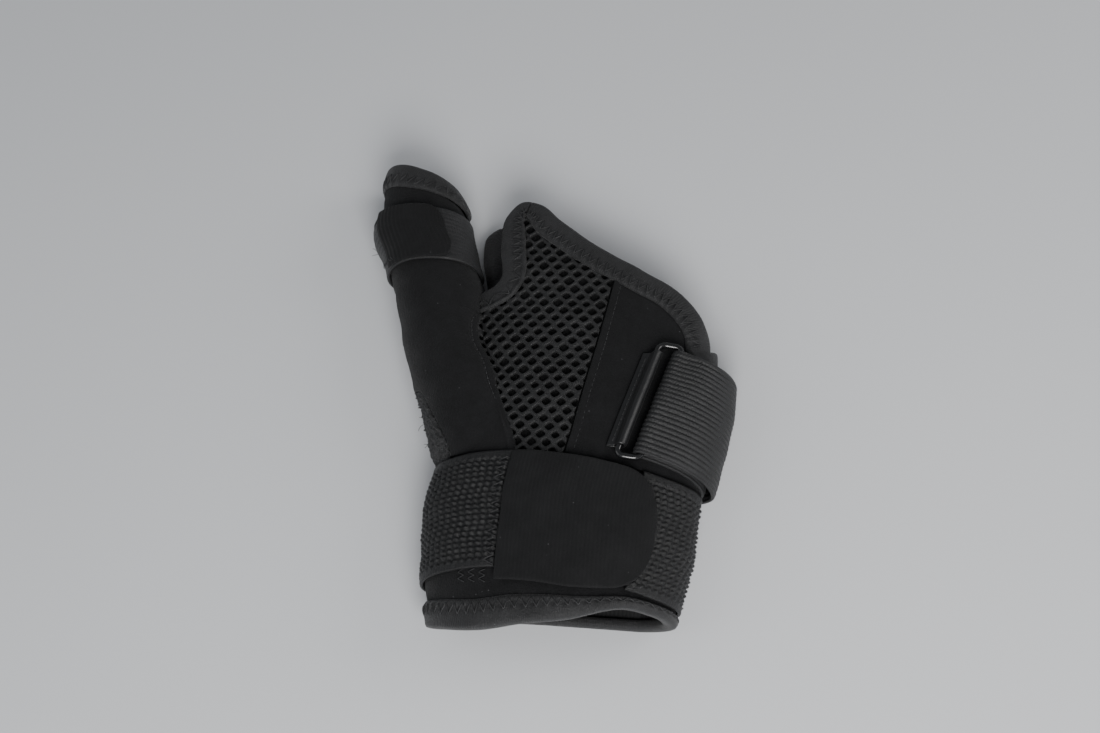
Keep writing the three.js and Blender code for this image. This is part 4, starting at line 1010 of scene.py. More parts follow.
FINISHES = {
    Look.PILE: Finish(
        Look.PILE, dark=(0.0030, 0.0031, 0.0035), worn=(0.0090, 0.0092, 0.0101), roughness=0.88,
        sheen=0.07, grain=1.3, depth=0.26, glint=0.2,
    ),
    Look.LOOPS: Finish(
        Look.LOOPS, dark=(0.0012, 0.0013, 0.0016), worn=(0.0046, 0.0048, 0.0054), roughness=0.42,
        sheen=0.01, grain=1.9, depth=0.24, glint=0.45,
    ),
    Look.RIBS: Finish(
        Look.RIBS, dark=(0.0030, 0.0031, 0.0035), worn=(0.0110, 0.0113, 0.0124), roughness=0.50,
        sheen=0.03, grain=1.9, depth=0.18, rib=1.1, rib_depth=0.03, glint=0.5,
    ),
    Look.HOOKS: Finish(
        Look.HOOKS, dark=(0.0026, 0.0027, 0.0031), worn=(0.0068, 0.0070, 0.0077), roughness=0.80,
        sheen=0.05, grain=1.7, depth=0.14, rib=1.5, rib_depth=0.05, glint=0.25,
    ),
    Look.TAPE: Finish(
        Look.TAPE, dark=(0.0038, 0.0039, 0.0043), worn=(0.0150, 0.0153, 0.0166), roughness=0.62,
        sheen=0.10, grain=1.2, depth=0.22, rib=0.9, rib_depth=0.05, glint=0.4,
    ),
    Look.NET: Finish(
        Look.NET, dark=(0.0028, 0.0029, 0.0032), worn=(0.0120, 0.0122, 0.0132), roughness=0.52,
        sheen=0.03, grain=2.1, depth=0.22, glint=0.5,
    ),
    Look.SCRUB: Finish(
        Look.SCRUB, dark=(0.0026, 0.0027, 0.0030), worn=(0.0120, 0.0123, 0.0134), roughness=0.60,
        sheen=0.05, grain=0.9, depth=0.8, glint=0.5,
    ),
    Look.LINING: Finish(
        Look.LINING, dark=(0.0030, 0.0031, 0.0034), worn=(0.0080, 0.0082, 0.0089), roughness=0.85,
        sheen=0.08, grain=1.6, depth=0.08, rib=1.6, rib_depth=0.14, lint=0.1,
    ),
    Look.THREAD: Finish(
        Look.THREAD, dark=(0.0070, 0.0072, 0.0080), worn=(0.0230, 0.0234, 0.0250), roughness=0.5,
        sheen=0.05, grain=1.3, depth=0.02, lint=0.0, glint=0.5,
    ),
    Look.CASING: Finish(
        Look.CASING, dark=(0.0042, 0.0043, 0.0048), worn=(0.0070, 0.0072, 0.0080), roughness=0.40,
        sheen=0.03, grain=1.0, depth=0.03, lint=0.1, glint=0.5,
    ),
    Look.WIRE: Finish(
        Look.WIRE, dark=(0.0050, 0.0051, 0.0055), worn=(0.0060, 0.0061, 0.0066), roughness=0.22,
        sheen=0.0, grain=0.4, depth=0.003, lint=0.0, coat=0.25, glint=0.5,
    ),
}


class Board:
    """A shader node group under construction, with named inputs and outputs."""

    def __init__(self, name: str, inputs: dict[str, tuple[str, object]], outputs: dict[str, str]) -> None:
        """Makes an empty group.

        Args:
            name: name of the group.
            inputs: kind of socket and default value, or None, for each input.
            outputs: kind of socket for each output.
        """
        self.tree = bpy.data.node_groups.new(name, "ShaderNodeTree")
        for key, (kind, default) in inputs.items():
            made = self.tree.interface.new_socket(name=key, in_out="INPUT", socket_type=kind)
            if default is not None:
                made.default_value = default
        for key, kind in outputs.items():
            self.tree.interface.new_socket(name=key, in_out="OUTPUT", socket_type=kind)
        self.start = self.tree.nodes.new("NodeGroupInput")
        self.end = self.tree.nodes.new("NodeGroupOutput")

    def link(self, value: object, socket: bpy.types.NodeSocket) -> None:
        """Joins an output to a socket, or sets the socket to a number or a colour."""
        if isinstance(value, bpy.types.NodeSocket):
            self.tree.links.new(value, socket)
        else:
            socket.default_value = value

    def read(self, key: str) -> bpy.types.NodeSocket:
        """One of the group's inputs."""
        return self.start.outputs[key]

    def give(self, key: str, value: object) -> None:
        """Sets one of the group's outputs."""
        self.link(value, self.end.inputs[key])

    def math(self, operation: str, a: object, b: object = 0.0, clamped: bool = False) -> bpy.types.NodeSocket:
        """One step of arithmetic.

        Args:
            operation: kind of step.
            a: first value.
            b: second value.
            clamped: whether the result is held between 0 and 1.

        Returns:
            The result.
        """
        node = self.tree.nodes.new("ShaderNodeMath")
        node.operation = operation
        node.use_clamp = clamped
        self.link(a, node.inputs[0])
        self.link(b, node.inputs[1])
        return node.outputs[0]

    def split(self, value: bpy.types.NodeSocket) -> bpy.types.bpy_prop_collection:
        """The three parts of a vector."""
        node = self.tree.nodes.new("ShaderNodeSeparateXYZ")
        self.link(value, node.inputs[0])
        return node.outputs

    def noise(self, place: object, scale: object, detail: float, roughness: float) -> bpy.types.NodeSocket:
        """Smooth noise around one half.

        Args:
            place: where to read it.
            scale: waves in a millimetre.
            detail: number of finer layers.
            roughness: strength of the finer layers.

        Returns:
            The value.
        """
        node = self.tree.nodes.new("ShaderNodeTexNoise")
        self.link(place, node.inputs["Vector"])
        self.link(scale, node.inputs["Scale"])
        node.inputs["Detail"].default_value = detail
        node.inputs["Roughness"].default_value = roughness
        return node.outputs["Fac"]

    def spread(
        self, value: object, low: float, high: float, to_low: float = 0.0, to_high: float = 1.0
    ) -> bpy.types.NodeSocket:
        """A value carried smoothly from one range to another, and held at its ends.

        Args:
            value: the value.
            low: start of the first range.
            high: its end.
            to_low: start of the second range.
            to_high: its end.

        Returns:
            The result.
        """
        node = self.tree.nodes.new("ShaderNodeMapRange")
        node.interpolation_type = "SMOOTHSTEP"
        self.link(value, node.inputs["Value"])
        self.link(low, node.inputs["From Min"])
        self.link(high, node.inputs["From Max"])
        self.link(to_low, node.inputs["To Min"])
        self.link(to_high, node.inputs["To Max"])
        return node.outputs["Result"]

    def mix(self, share: object, a: object, b: object) -> bpy.types.NodeSocket:
        """A colour between two colours.

        Args:
            share: share of the second colour.
            a: first colour.
            b: second colour.

        Returns:
            The colour.
        """
        node = self.tree.nodes.new("ShaderNodeMix")
        node.data_type = "RGBA"
        self.link(share, node.inputs[0])
        self.link(a, node.inputs[6])
        self.link(b, node.inputs[7])
        return node.outputs[2]


def make_fabric_group() -> bpy.types.NodeTree:
    """The group that every fabric uses: colour with wear and lint, and the height of yarn and ribs.

    Place is in millimetres on the object and Weave in millimetres on the cloth. Height adds crossed
    noise of the yarn to ribs that are cosines of the way across the cloth.

    Returns:
        The new group.
    """
    board = Board(
        "Worn fabric",
        {
            "Place": ("NodeSocketVector", None),
            "Weave": ("NodeSocketVector", None),
            "Dark": ("NodeSocketColor", (0.01, 0.01, 0.01, 1.0)),
            "Worn": ("NodeSocketColor", (0.02, 0.02, 0.02, 1.0)),
            "Grain": ("NodeSocketFloat", 1.2),
            "Depth": ("NodeSocketFloat", 0.1),
            "Rib": ("NodeSocketFloat", 0.0),
            "Rib Depth": ("NodeSocketFloat", 0.0),
            "Lint": ("NodeSocketFloat", 0.3),
        },
        {"Color": "NodeSocketColor", "Height": "NodeSocketFloat"},
    )
    place = board.read("Place")
    yarn = board.noise(place, board.read("Grain"), 3.0, 0.62)
    broad = board.noise(place, 0.045, 3.0, 0.55)
    blotch = board.noise(place, 0.21, 2.0, 0.6)
    weave = board.split(board.read("Weave"))
    turns = board.math("MULTIPLY", weave[0], board.read("Rib"))
    rib = board.math("COSINE", board.math("MULTIPLY", turns, 2 * np.pi))
    high = board.math("MULTIPLY", board.math("SUBTRACT", yarn, 0.5), board.read("Depth"))
    ribbed = board.math("MULTIPLY", rib, board.read("Rib Depth"))
    board.give("Height", board.math("ADD", board.math("MULTIPLY", high, 2.0), ribbed))
    wear = board.math("ADD", board.math("MULTIPLY", broad, 0.55), board.math("MULTIPLY", blotch, 0.45))
    share = board.spread(wear, 0.33, 0.72)
    speckle = board.spread(yarn, 0.3, 0.75)
    both = board.math("ADD", board.math("MULTIPLY", share, 0.6), board.math("MULTIPLY", speckle, 0.4), True)
    cloth = board.mix(both, board.read("Dark"), board.read("Worn"))
    cells = board.tree.nodes.new("ShaderNodeTexVoronoi")
    board.link(place, cells.inputs["Vector"])
    cells.inputs["Scale"].default_value = 0.42
    colour = board.split(cells.outputs["Color"])
    near = board.spread(cells.outputs["Distance"], 0.06, 0.13, 1.0, 0.0)
    rare = board.spread(colour[0], 0.90, 0.93)
    lint = board.math("MULTIPLY", board.math("MULTIPLY", near, rare), board.read("Lint"), True)
    board.give("Color", board.mix(lint, cloth, (0.19, 0.19, 0.2, 1.0)))
    return board.tree


class Wardrobe:
    """Makes one material for each finish and keeps it."""

    def __init__(self) -> None:
        """Makes the shared node group."""
        self.group = make_fabric_group()
        self.made: dict[Look, bpy.types.Material] = {}

    def material(self, look: Look) -> bpy.types.Material:
        """The material of a look."""
        if look not in self.made:
            self.made[look] = self._make(FINISHES[look])
        return self.made[look]

    def _make(self, finish: Finish) -> bpy.types.Material:
        """Builds the material of one finish.

        Args:
            finish: the finish.

        Returns:
            The new material.
        """
        made = bpy.data.materials.new(f"splint {finish.look.value}")
        made.use_nodes = True
        tree = made.node_tree
        shader = tree.nodes["Principled BSDF"]
        fabric = tree.nodes.new("ShaderNodeGroup")
        fabric.node_tree = self.group
        where = tree.nodes.new("ShaderNodeTexCoord")
        place = self._in_millimetres(tree, where.outputs["Object"])
        weave = tree.nodes.new("ShaderNodeUVMap")
        weave.uv_map = "weave"
        tree.links.new(place, fabric.inputs["Place"])
        tree.links.new(self._in_millimetres(tree, weave.outputs["UV"]), fabric.inputs["Weave"])
        values = {
            "Dark": (*finish.dark, 1.0), "Worn": (*finish.worn, 1.0),
            "Grain": finish.grain, "Depth": finish.depth, "Lint": finish.lint,
            "Rib": 1 / finish.rib if finish.rib else 0.0, "Rib Depth": finish.rib_depth,
        }
        for key, value in values.items():
            fabric.inputs[key].default_value = value
        tree.links.new(fabric.outputs["Color"], shader.inputs["Base Color"])
        lift = tree.nodes.new("ShaderNodeBump")
        lift.inputs["Strength"].default_value = 1.0
        lift.inputs["Distance"].default_value = MM
        tree.links.new(fabric.outputs["Height"], lift.inputs["Height"])
        tree.links.new(lift.outputs["Normal"], shader.inputs["Normal"])
        surface = {
            "Roughness": finish.roughness, "Sheen Weight": finish.sheen, "Sheen Roughness": 0.5,
            "Specular IOR Level": finish.glint, "Coat Weight": finish.coat,
        }
        for key, value in surface.items():
            shader.inputs[key].default_value = value
        return made

    def _in_millimetres(self, tree: bpy.types.NodeTree, socket: bpy.types.NodeSocket) -> bpy.types.NodeSocket:
        """A vector in metres as millimetres.

        Args:
            tree: the material's nodes.
            socket: the vector in metres.

        Returns:
            The vector in millimetres.
        """
        node = tree.nodes.new("ShaderNodeVectorMath")
        node.operation = "SCALE"
        node.inputs["Scale"].default_value = 1 / MM
        tree.links.new(socket, node.inputs[0])
        return node.outputs[0]


class Assembly:
    """A group of pieces of the splint that are built and dressed together."""

    def __init__(self, wardrobe: Wardrobe) -> None:
        """Keeps the wardrobe that dresses the pieces."""
        self.wardrobe = wardrobe
        self.pieces: dict[str, bpy.types.Object] = {}

    def add(self, made: bpy.types.Object, look: Look, slot: str, node: str | None = None) -> bpy.types.Object:
        """Dresses a piece, parents it to the empty of the root body and hides the CAD node that it stands
        for.

        Args:
            made: the piece.
            look: its look.
            slot: not used.
            node: the CAD node that it stands for, or none.

        Returns:
            The piece.
        """
        made.data.materials.clear()
        made.data.materials.append(self.wardrobe.material(look))
        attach(made, "root")
        if node is not None:
            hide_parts(node)
        self.pieces[made.name] = made
        LOG.info("%s: %d faces, look %s", made.name, len(made.data.polygons), look.value)
        return made

    def lay(self, cloth: Cloth, look: Look, slot: str, node: str, held: str, rests_on: str) -> None:
        """Args:
            cloth: the cloth.
            look: its look.
            slot: handed to add, which does not use it.
            node: the CAD node that it stands for.
            held: not used.
            rests_on: not used.
        """
        made = self.add(cloth.build(), look, slot, node)
        width = float(np.mean(cloth.u[-1]))
        if cloth.closed:
            width += float(np.mean(np.linalg.norm(cloth.points[0] - cloth.points[-1], axis=-1)))

    def build(self) -> None:
        """Builds every piece of the group."""
        raise NotImplementedError


SEAM_GAP = 0.5
PEAK_STATION = 16
SPLIT_STATION = 15
FORK_STATION = 26
UNDER_PEAK_STATION = 33
STATIONS = 48


def thumb_panel_inner(y: Array) -> Array:
    """Share around the thumb tube of the thumb panel's edge towards the hand."""
    seam = THUMB.around(thumb_seam(y) - SEAM_GAP, y)
    return lerp(seam, -0.03, ease((y / SIZES.crotch_height - 0.92) / 0.07))


def thumb_panel_outer(y: Array) -> Array:
    """Share around the thumb tube of its other edge."""
    share = y / SIZES.crotch_height
    seam = THUMB.around(column(STRIP_SEAM, share, 1) * SIZES.hand_width, y)
    return lerp(seam, COVER_LEFT, ease((share - 0.66) / 0.07))


def thumb_panel_place(s: Array, t: Array) -> tuple[Array, Array]:
    """Share around the thumb tube and place y at a share across and a share along the thumb panel.

    Args:
        s: shares across the piece.
        t: shares along it.

    Returns:
        Shares around, and places along Y.
    """
    low = wrist_strap_top(0.36) + 0.6
    y = lerp(low, SIZES.crotch_height + SIZES.thumb_length, t)
    around = s
    for _ in range(3):
        around = lerp(thumb_panel_inner(y), thumb_panel_outer(y), s)
        y = lerp(low, thumb_hem(around) - SIZES.binding_width * 0.8, t)
    return around, y


def side_mesh_place(s: Array, t: Array) -> tuple[Array, Array]:
    """The same for the strip of rough mesh beside it."""
    low = wrist_strap_top(0.5) + 2.6
    y = lerp(low, SIZES.crotch_height * 0.73, t)
    start = thumb_panel_outer(y) + 0.004
    return lerp(start, np.maximum(COVER_LEFT, start + 0.004), s), y


def palm_panel_place(s: Array, t: Array) -> tuple[Array, Array]:
    """Share around the hand tube and place y at a share across and a share along the palm panel."""
    y = lerp(wrist_strap_top(0.2), SIZES.hand_length * 0.86, t)
    for _ in range(3):
        around = lerp(COVER_RIGHT, HAND.around(palm_seam(y), y), s)
        y = lerp(wrist_strap_top(around) + 0.6, hem_on_top(around) - 3.0, t)
    return around, y


@dataclass(frozen=True)
class NetSizes:
    """Sizes of the mesh panel's net, in millimetres."""

    pitch: float = 6.0
    row: float = 3.7
    hole: float = 0.66
    low: float = 0.9
    high: float = 2.1
    spare: float = 2.5
    slope_step: float = 1.5
    same_place: float = 0.03
    least_area: float = 0.002


class Net:
    """The spacer mesh: a staggered net of six-sided cells, each round a hole with soft sides."""

    # Share of the way from the hole to the cell's border, and how far that ring is raised
    RINGS = ((0.0, -0.42), (0.12, 0.0), (0.45, 0.22), (1.0, 0.16))
    SEED = 5
    # Keeps corners off the borders of the squares that sort them
    NUDGE = 0.00317

    def __init__(self, sizes: NetSizes) -> None:
        """Keeps the net's sizes."""
        self.sizes = sizes

    def left(self, y: Array) -> Array:
        """Left border: the thumb panel's seam, and above the fork the edge of the web."""
        knots_y = np.array([0.755, 0.79, 0.87, 0.945, 1.0]) * SIZES.hand_length
        knots_x = np.array([-0.36, -0.322, -0.345, -0.35, -0.31]) * SIZES.hand_width + 1.5
        web = np.interp(y, knots_y, knots_x)
        return np.where(y > knots_y[0], web, thumb_seam(y) - 1.0)

    def right(self, y: Array) -> Array:
        """Right border: under the palm panel's fold."""
        return palm_seam(y) - 0.6

    def cell(self) -> tuple[Array, Array]:
        """Corners of one cell's rings round the hole, as steps across and along from its middle.

        The outer ring is the six-sided border with its two upright sides in two steps and its four
        slanted ones in four; the inner ring is between that border and an ellipse.
        """
        p, r = self.sizes.pitch / 2, self.sizes.row
        half = (p * p + r * r) / 2
        side = (half - p * p) / r
        peak = half / r
        corners = np.array([
            [p, -side], [p, side], [0, peak], [-p, side], [-p, -side], [0, -peak], [p, -side],
        ])
        steps = (2, 4, 4, 2, 4, 4)
        border = np.concatenate([
            lerp(a, b, (np.arange(n) / n)[:, None]) for a, b, n in zip(corners[:-1], corners[1:], steps)
        ])
        angle = np.arctan2(border[:, 1] / peak, border[:, 0] / p)
        circle = np.stack([np.cos(angle) * p, np.sin(angle) * peak], axis=-1) * 0.84
        return lerp(border, circle, 0.45) * self.sizes.hole, border

    def build(self, name: str) -> bpy.types.Object:
        """Lays every cell on the body, clamps it to the panel's borders and joins the cells.

        Args:
            name: name of the piece.

        Returns:
            The new object.
        """
        size = self.sizes
        hole, border = self.cell()
        low_y = float(wrist_strap_top(0.3)) + 0.6
        high_y = SIZES.hand_length * 0.99
        middles = []
        for row in range(int((high_y - low_y) / size.row) + 2):
            y = low_y + size.row * row
            first = int((-0.45 * SIZES.hand_width) / size.pitch) - 1
            for i in range(first, int(0.2 * SIZES.hand_width / size.pitch) + 2):
                middles.append([(i + 0.5 * (row % 2)) * size.pitch, y])
        middles = np.array(middles)
        past_left = middles[:, 0] > self.left(middles[:, 1]) - size.spare
        before_right = middles[:, 0] < self.right(middles[:, 1]) + size.spare
        middles = middles[past_left & before_right]
        rng = np.random.default_rng(self.SEED)
        varied = 1 + 0.10 * rng.standard_normal((len(middles), 1, 1))
        shares = np.array([share for share, _ in self.RINGS])
        holes = hole[None, None] * np.clip(varied, 0.8, 1.15)[:, None]
        flat = middles[:, None, None, :] + lerp(holes, border[None, None], shares[None, :, None, None])
        x, y = flat[..., 0], flat[..., 1]
        y = np.clip(y, low_y, None)
        x = np.clip(x, self.left(y), self.right(y))
        around = HAND.around(x, y)
        y = np.minimum(y, hem_on_top(around) - 2.0)
        points = top_point(x, y)
        step = size.slope_step
        dx = top_point(x + step, y) - top_point(x - step, y)
        dy = top_point(x, y + step) - top_point(x, y - step)
        out = unit(np.cross(dx, dy))
        lift = np.array([raised for _, raised in self.RINGS])[None, :, None]
        wave = crumple(points) + 0.08 * rough(points, 7.0, 1.3)
        top = points + out * (size.high + lift + wave)[..., None]
        under = points + out * (size.low + wave)[..., None]
        cells, rings, sides = x.shape
        i = np.arange(rings - 1)[:, None]
        j = np.arange(sides)[None, :]
        after = (j + 1) % sides
        here = i * sides
        ahead = (i + 1) * sides
        quad = np.stack([here + j, ahead + j, ahead + after, here + after], axis=-1)
        offset = (np.arange(cells) * rings * sides)[:, None, None]
        quads = (quad.reshape(-1, 4)[None] + offset).reshape(-1, 4)
        flat = np.stack([x, y], axis=-1).reshape(-1, 2)
        faces, first = self._joined(flat, quads)
        total = len(first)
        wall = self._walls(faces, total)
        turned = turned_over(faces)
        under_faces = np.where(turned < 0, -1, turned + total)
        corners = np.concatenate([top.reshape(-1, 3)[first], under.reshape(-1, 3)[first]])
        uv = corners[:, :2] * MM
        return new_mesh(name, corners, np.concatenate([faces, under_faces, wall]), uv)

    def _joined(self, flat: Array, quads: Faces) -> tuple[Faces, Faces]:
        """Gives corners at one place one number, and drops faces pressed flat at the panel's borders.

        Args:
            flat: x and y of each corner.
            quads: corner numbers of each face.

        Returns:
            The faces by the new numbers, with -1 as the last for a triangle, and the first corner of each.
        """
        cell = np.floor((flat + self.NUDGE) / self.sizes.same_place).astype(np.int64)
        _, first, same = np.unique(cell, axis=0, return_index=True, return_inverse=True)
        faces = same.reshape(-1)[quads]
        a, b, c, d = (flat[first][faces[:, k]] for k in range(4))
        p = c - a
        q = d - b
        area = 0.5 * np.abs(p[:, 0] * q[:, 1] - p[:, 1] * q[:, 0])
        faces = faces[area > self.sizes.least_area]
        repeat = faces == np.roll(faces, -1, axis=1)
        times = repeat.sum(axis=1)
        whole = faces[times == 0]
        pinched = faces[times == 1]
        place = np.argmax(repeat[times == 1], axis=1)[:, None]
        around = (place + 1 + np.arange(3)) % 4
        three = np.take_along_axis(pinched, around, axis=1)
        three = np.hstack([three, np.full((len(three), 1), -1)])
        good = (whole[:, 0] != whole[:, 2]) & (whole[:, 1] != whole[:, 3])
        return np.vstack([whole[good], three]), first

    def _walls(self, faces: Faces, total: int) -> Faces:
        """One face down to the lower side at each border edge of the upper side's faces.

        Args:
            faces: faces of the upper side.
            total: corners of the upper side.

        Returns:
            Corner numbers, four for each face.
        """
        ends = np.roll(faces, -1, axis=1)
        three = faces[:, 3] < 0
        ends[three, 2] = faces[three, 0]
        edges = np.stack([faces, ends], axis=-1).reshape(-1, 2)
        edges = edges[faces.ravel() >= 0]
        code = edges[:, 0] * total + edges[:, 1]
        back = edges[:, 1] * total + edges[:, 0]
        a, b = edges[~np.isin(back, code)].T
        return np.stack([b, a, a + total, b + total], axis=-1)


class Body(Assembly):
    """The sewn body: the lining and the panels that cover it."""

    def build(self) -> None:
        """Builds the lining, four panels, the net and the strip of rough mesh."""
        self._lining()
        self._thumb_panel()
        self._side_mesh()
        self._wrist_panel()
        self._palm_panel()
        net = Net(NetSizes()).build("mesh_panel.net")
        self.add(net, Look.NET, "mesh_fabric", "mesh_panel")

    MERGE = 0.00002
    LONG_EDGE = 0.004
    CREASE = 50
    SOFT_FROM = 12

    def _lining(self) -> None:
        """Copies the hollow walls of the frame, splits them finer and lets them give way like the rest."""
        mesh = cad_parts["inner_shell"].data.copy()
        mesh.name = "inner_shell.lining"
        work = bmesh.new()
        work.from_mesh(mesh)
        bmesh.ops.remove_doubles(work, verts=work.verts, dist=self.MERGE)
        bmesh.ops.triangulate(work, faces=work.faces)
        long_edges = [e for e in work.edges if e.calc_length() > self.LONG_EDGE]
        bmesh.ops.subdivide_edges(work, edges=long_edges, cuts=1)
        bmesh.ops.triangulate(work, faces=work.faces)
        work.to_mesh(mesh)
        work.free()
        count = len(mesh.vertices)
        flat = np.empty(count * 3, dtype=np.float32)
        mesh.vertices.foreach_get("co", flat)
        points = flat.reshape(-1, 3).astype(float) / MM + ORIGIN
        points[:, 2] += crumple(points) * ease((points[:, 2] - self.SOFT_FROM) / 8)
        mesh.vertices.foreach_set("co", ((points - ORIGIN) * MM).astype(np.float32).ravel())
        for layer in list(mesh.uv_layers):
            mesh.uv_layers.remove(layer)
        weave = mesh.uv_layers.new(name="weave")
        corner = np.empty(len(mesh.loops), dtype=np.int32)
        mesh.loops.foreach_get("vertex_index", corner)
        run = points[:, 0] + 1.2 * (points[:, 2] - self.SOFT_FROM)
        uv = np.stack([run, points[:, 1]], axis=-1) * MM
        weave.data.foreach_set("uv", uv[corner].astype(np.float32).ravel())
        mesh.polygons.foreach_set("use_smooth", np.ones(len(mesh.polygons), dtype=bool))
        mesh.update()
        made = bpy.data.objects.new("inner_shell.lining", mesh)
        bpy.context.scene.collection.objects.link(made)
        mesh.set_sharp_from_angle(angle=np.radians(self.CREASE))
        self.add(made, Look.LINING, "lining", "inner_shell")

    def _thumb_panel(self) -> None:
        """The velvety panel over the thumb, with a stitched ridge along its edge beside the net."""

        def surface(s: Array, t: Array) -> Array:
            """Where the shares s and t of the cloth lie."""
            around, y = thumb_panel_place(s, t)
            return body_point(THUMB, around, y)

        def relief(p: Array, u: Array, v: Array) -> Array:
            """How far the weave is raised."""
            ridge = 0.5 * bump(u, 1.6, 1.2) - 0.35 * bump(u, 3.6, 0.7)
            return ridge + 0.22 * rough(p, 16.0, 0.4) + 0.08 * rough(p, 5.0, 2.2)

        cloth = Cloth("thumb_panel.pile", surface, edged(80, 1.1), edged(150, 1.4),
                      LAYERS.panel_low, LAYERS.panel_top + 0.1, relief)
        self.lay(cloth, Look.PILE, "loop_fabric", "thumb_panel", "stretched", "inner_shell.lining")

    def _side_mesh(self) -> None:
        """The strip of rough mesh on the outer side, with bumps as coarse as its knit."""

        def surface(s: Array, t: Array) -> Array:
            """Where the shares s and t of the cloth lie."""
            around, y = side_mesh_place(s, t)
            return body_point(THUMB, around, y)

        relief = uneven((0.9, 3.4, 0.8), (0.7, 2.3, 4.2))
        cloth = Cloth("side_mesh.knit", surface, edged(16, 0.55), edged(40, 0.55),
                      LAYERS.panel_low, LAYERS.panel_top - 0.1, relief)
        self.lay(cloth, Look.SCRUB, "mesh_fabric", "side_mesh", "stretched", "inner_shell.lining")

    def _wrist_panel(self) -> None:
        """The plain fabric under the wrist strap."""

        def surface(s: Array, t: Array) -> Array:
            """Where the shares s and t of the cloth lie."""
            around = lerp(COVER_RIGHT, COVER_LEFT, s)
            return HAND.point(around, lerp(wrist_hem(around) + 0.5, wrist_strap_top(around) - 4, t))

        relief = uneven((0.15, 11.0, 0.9), (0.06, 4.0, 1.7))
        cloth = Cloth("wrist_panel.pile", surface, edged(170, 1.6), edged(60, 1.6),
                      LAYERS.panel_low, LAYERS.panel_top, relief)
        self.lay(cloth, Look.PILE, "loop_fabric", "wrist_panel", "stretched", "inner_shell.lining")

    def _palm_panel(self) -> None:
        """The panel round the little finger's side, folded along its edge beside the net."""

        def surface(s: Array, t: Array) -> Array:
            """Where the shares s and t of the cloth lie."""
            return HAND.point(*palm_panel_place(s, t))

        def relief(p: Array, u: Array, v: Array) -> Array:
            """How far the weave is raised."""
            beside = u[-1:] - u
            fade = 1 - ease((p[..., 1] / SIZES.hand_length - 0.79) / 0.05)
            fold = fade * (0.75 * (1 - ease(beside / 3.0 - 0.45)) - 0.25 * bump(beside, 3.2, 0.6))
            return fold + 0.15 * rough(p, 13.0, 1.1) + 0.06 * rough(p, 4.5, 3.0)

        cloth = Cloth("palm_panel.pile", surface, edged(75, 1.0), edged(90, 1.3),
                      LAYERS.panel_low, LAYERS.panel_top, relief)
        self.lay(cloth, Look.PILE, "loop_fabric", "palm_panel", "stretched", "inner_shell.lining")


def finger_binding_width(share: Array) -> Array:
    """Width of the finger bindings, narrower at the two peaks."""
    station = (share - np.floor(share)) * STATIONS
    far = np.minimum(np.abs(station - PEAK_STATION), np.abs(station - UNDER_PEAK_STATION))
    return SIZES.binding_width * lerp(0.6, 1.0, ease(far / 4))


WRIST_BINDING = np.array([
    [0.0, 0.33], [0.12, 0.33], [0.22, 0.8], [0.32, 1.0], [0.5, 0.9], [0.6, 0.36], [0.8, 0.3],
])


def wrist_binding_width(share: Array) -> Array:
    """Width of the wrist binding."""
    return SIZES.binding_width * ring_column(WRIST_BINDING, share, 1)


def wrist_path(share: Array) -> tuple[Array, Array]:
    """Share around the hand tube and place y of the wrist hem."""
    return share, wrist_hem(share)


def tip_path(share: Array) -> tuple[Array, Array]:
    """Share around the thumb tube and place y of the thumb hem."""
    return share, thumb_hem(share)


def tip_binding_width(share: Array) -> Array:
    """Width of the thumb's binding."""
    far = np.abs(share - np.floor(share) - 0.5)
    return SIZES.binding_width * lerp(0.7, 1.0, ease(np.where(far < 0.25, 1.0, 2 - 4 * far)))


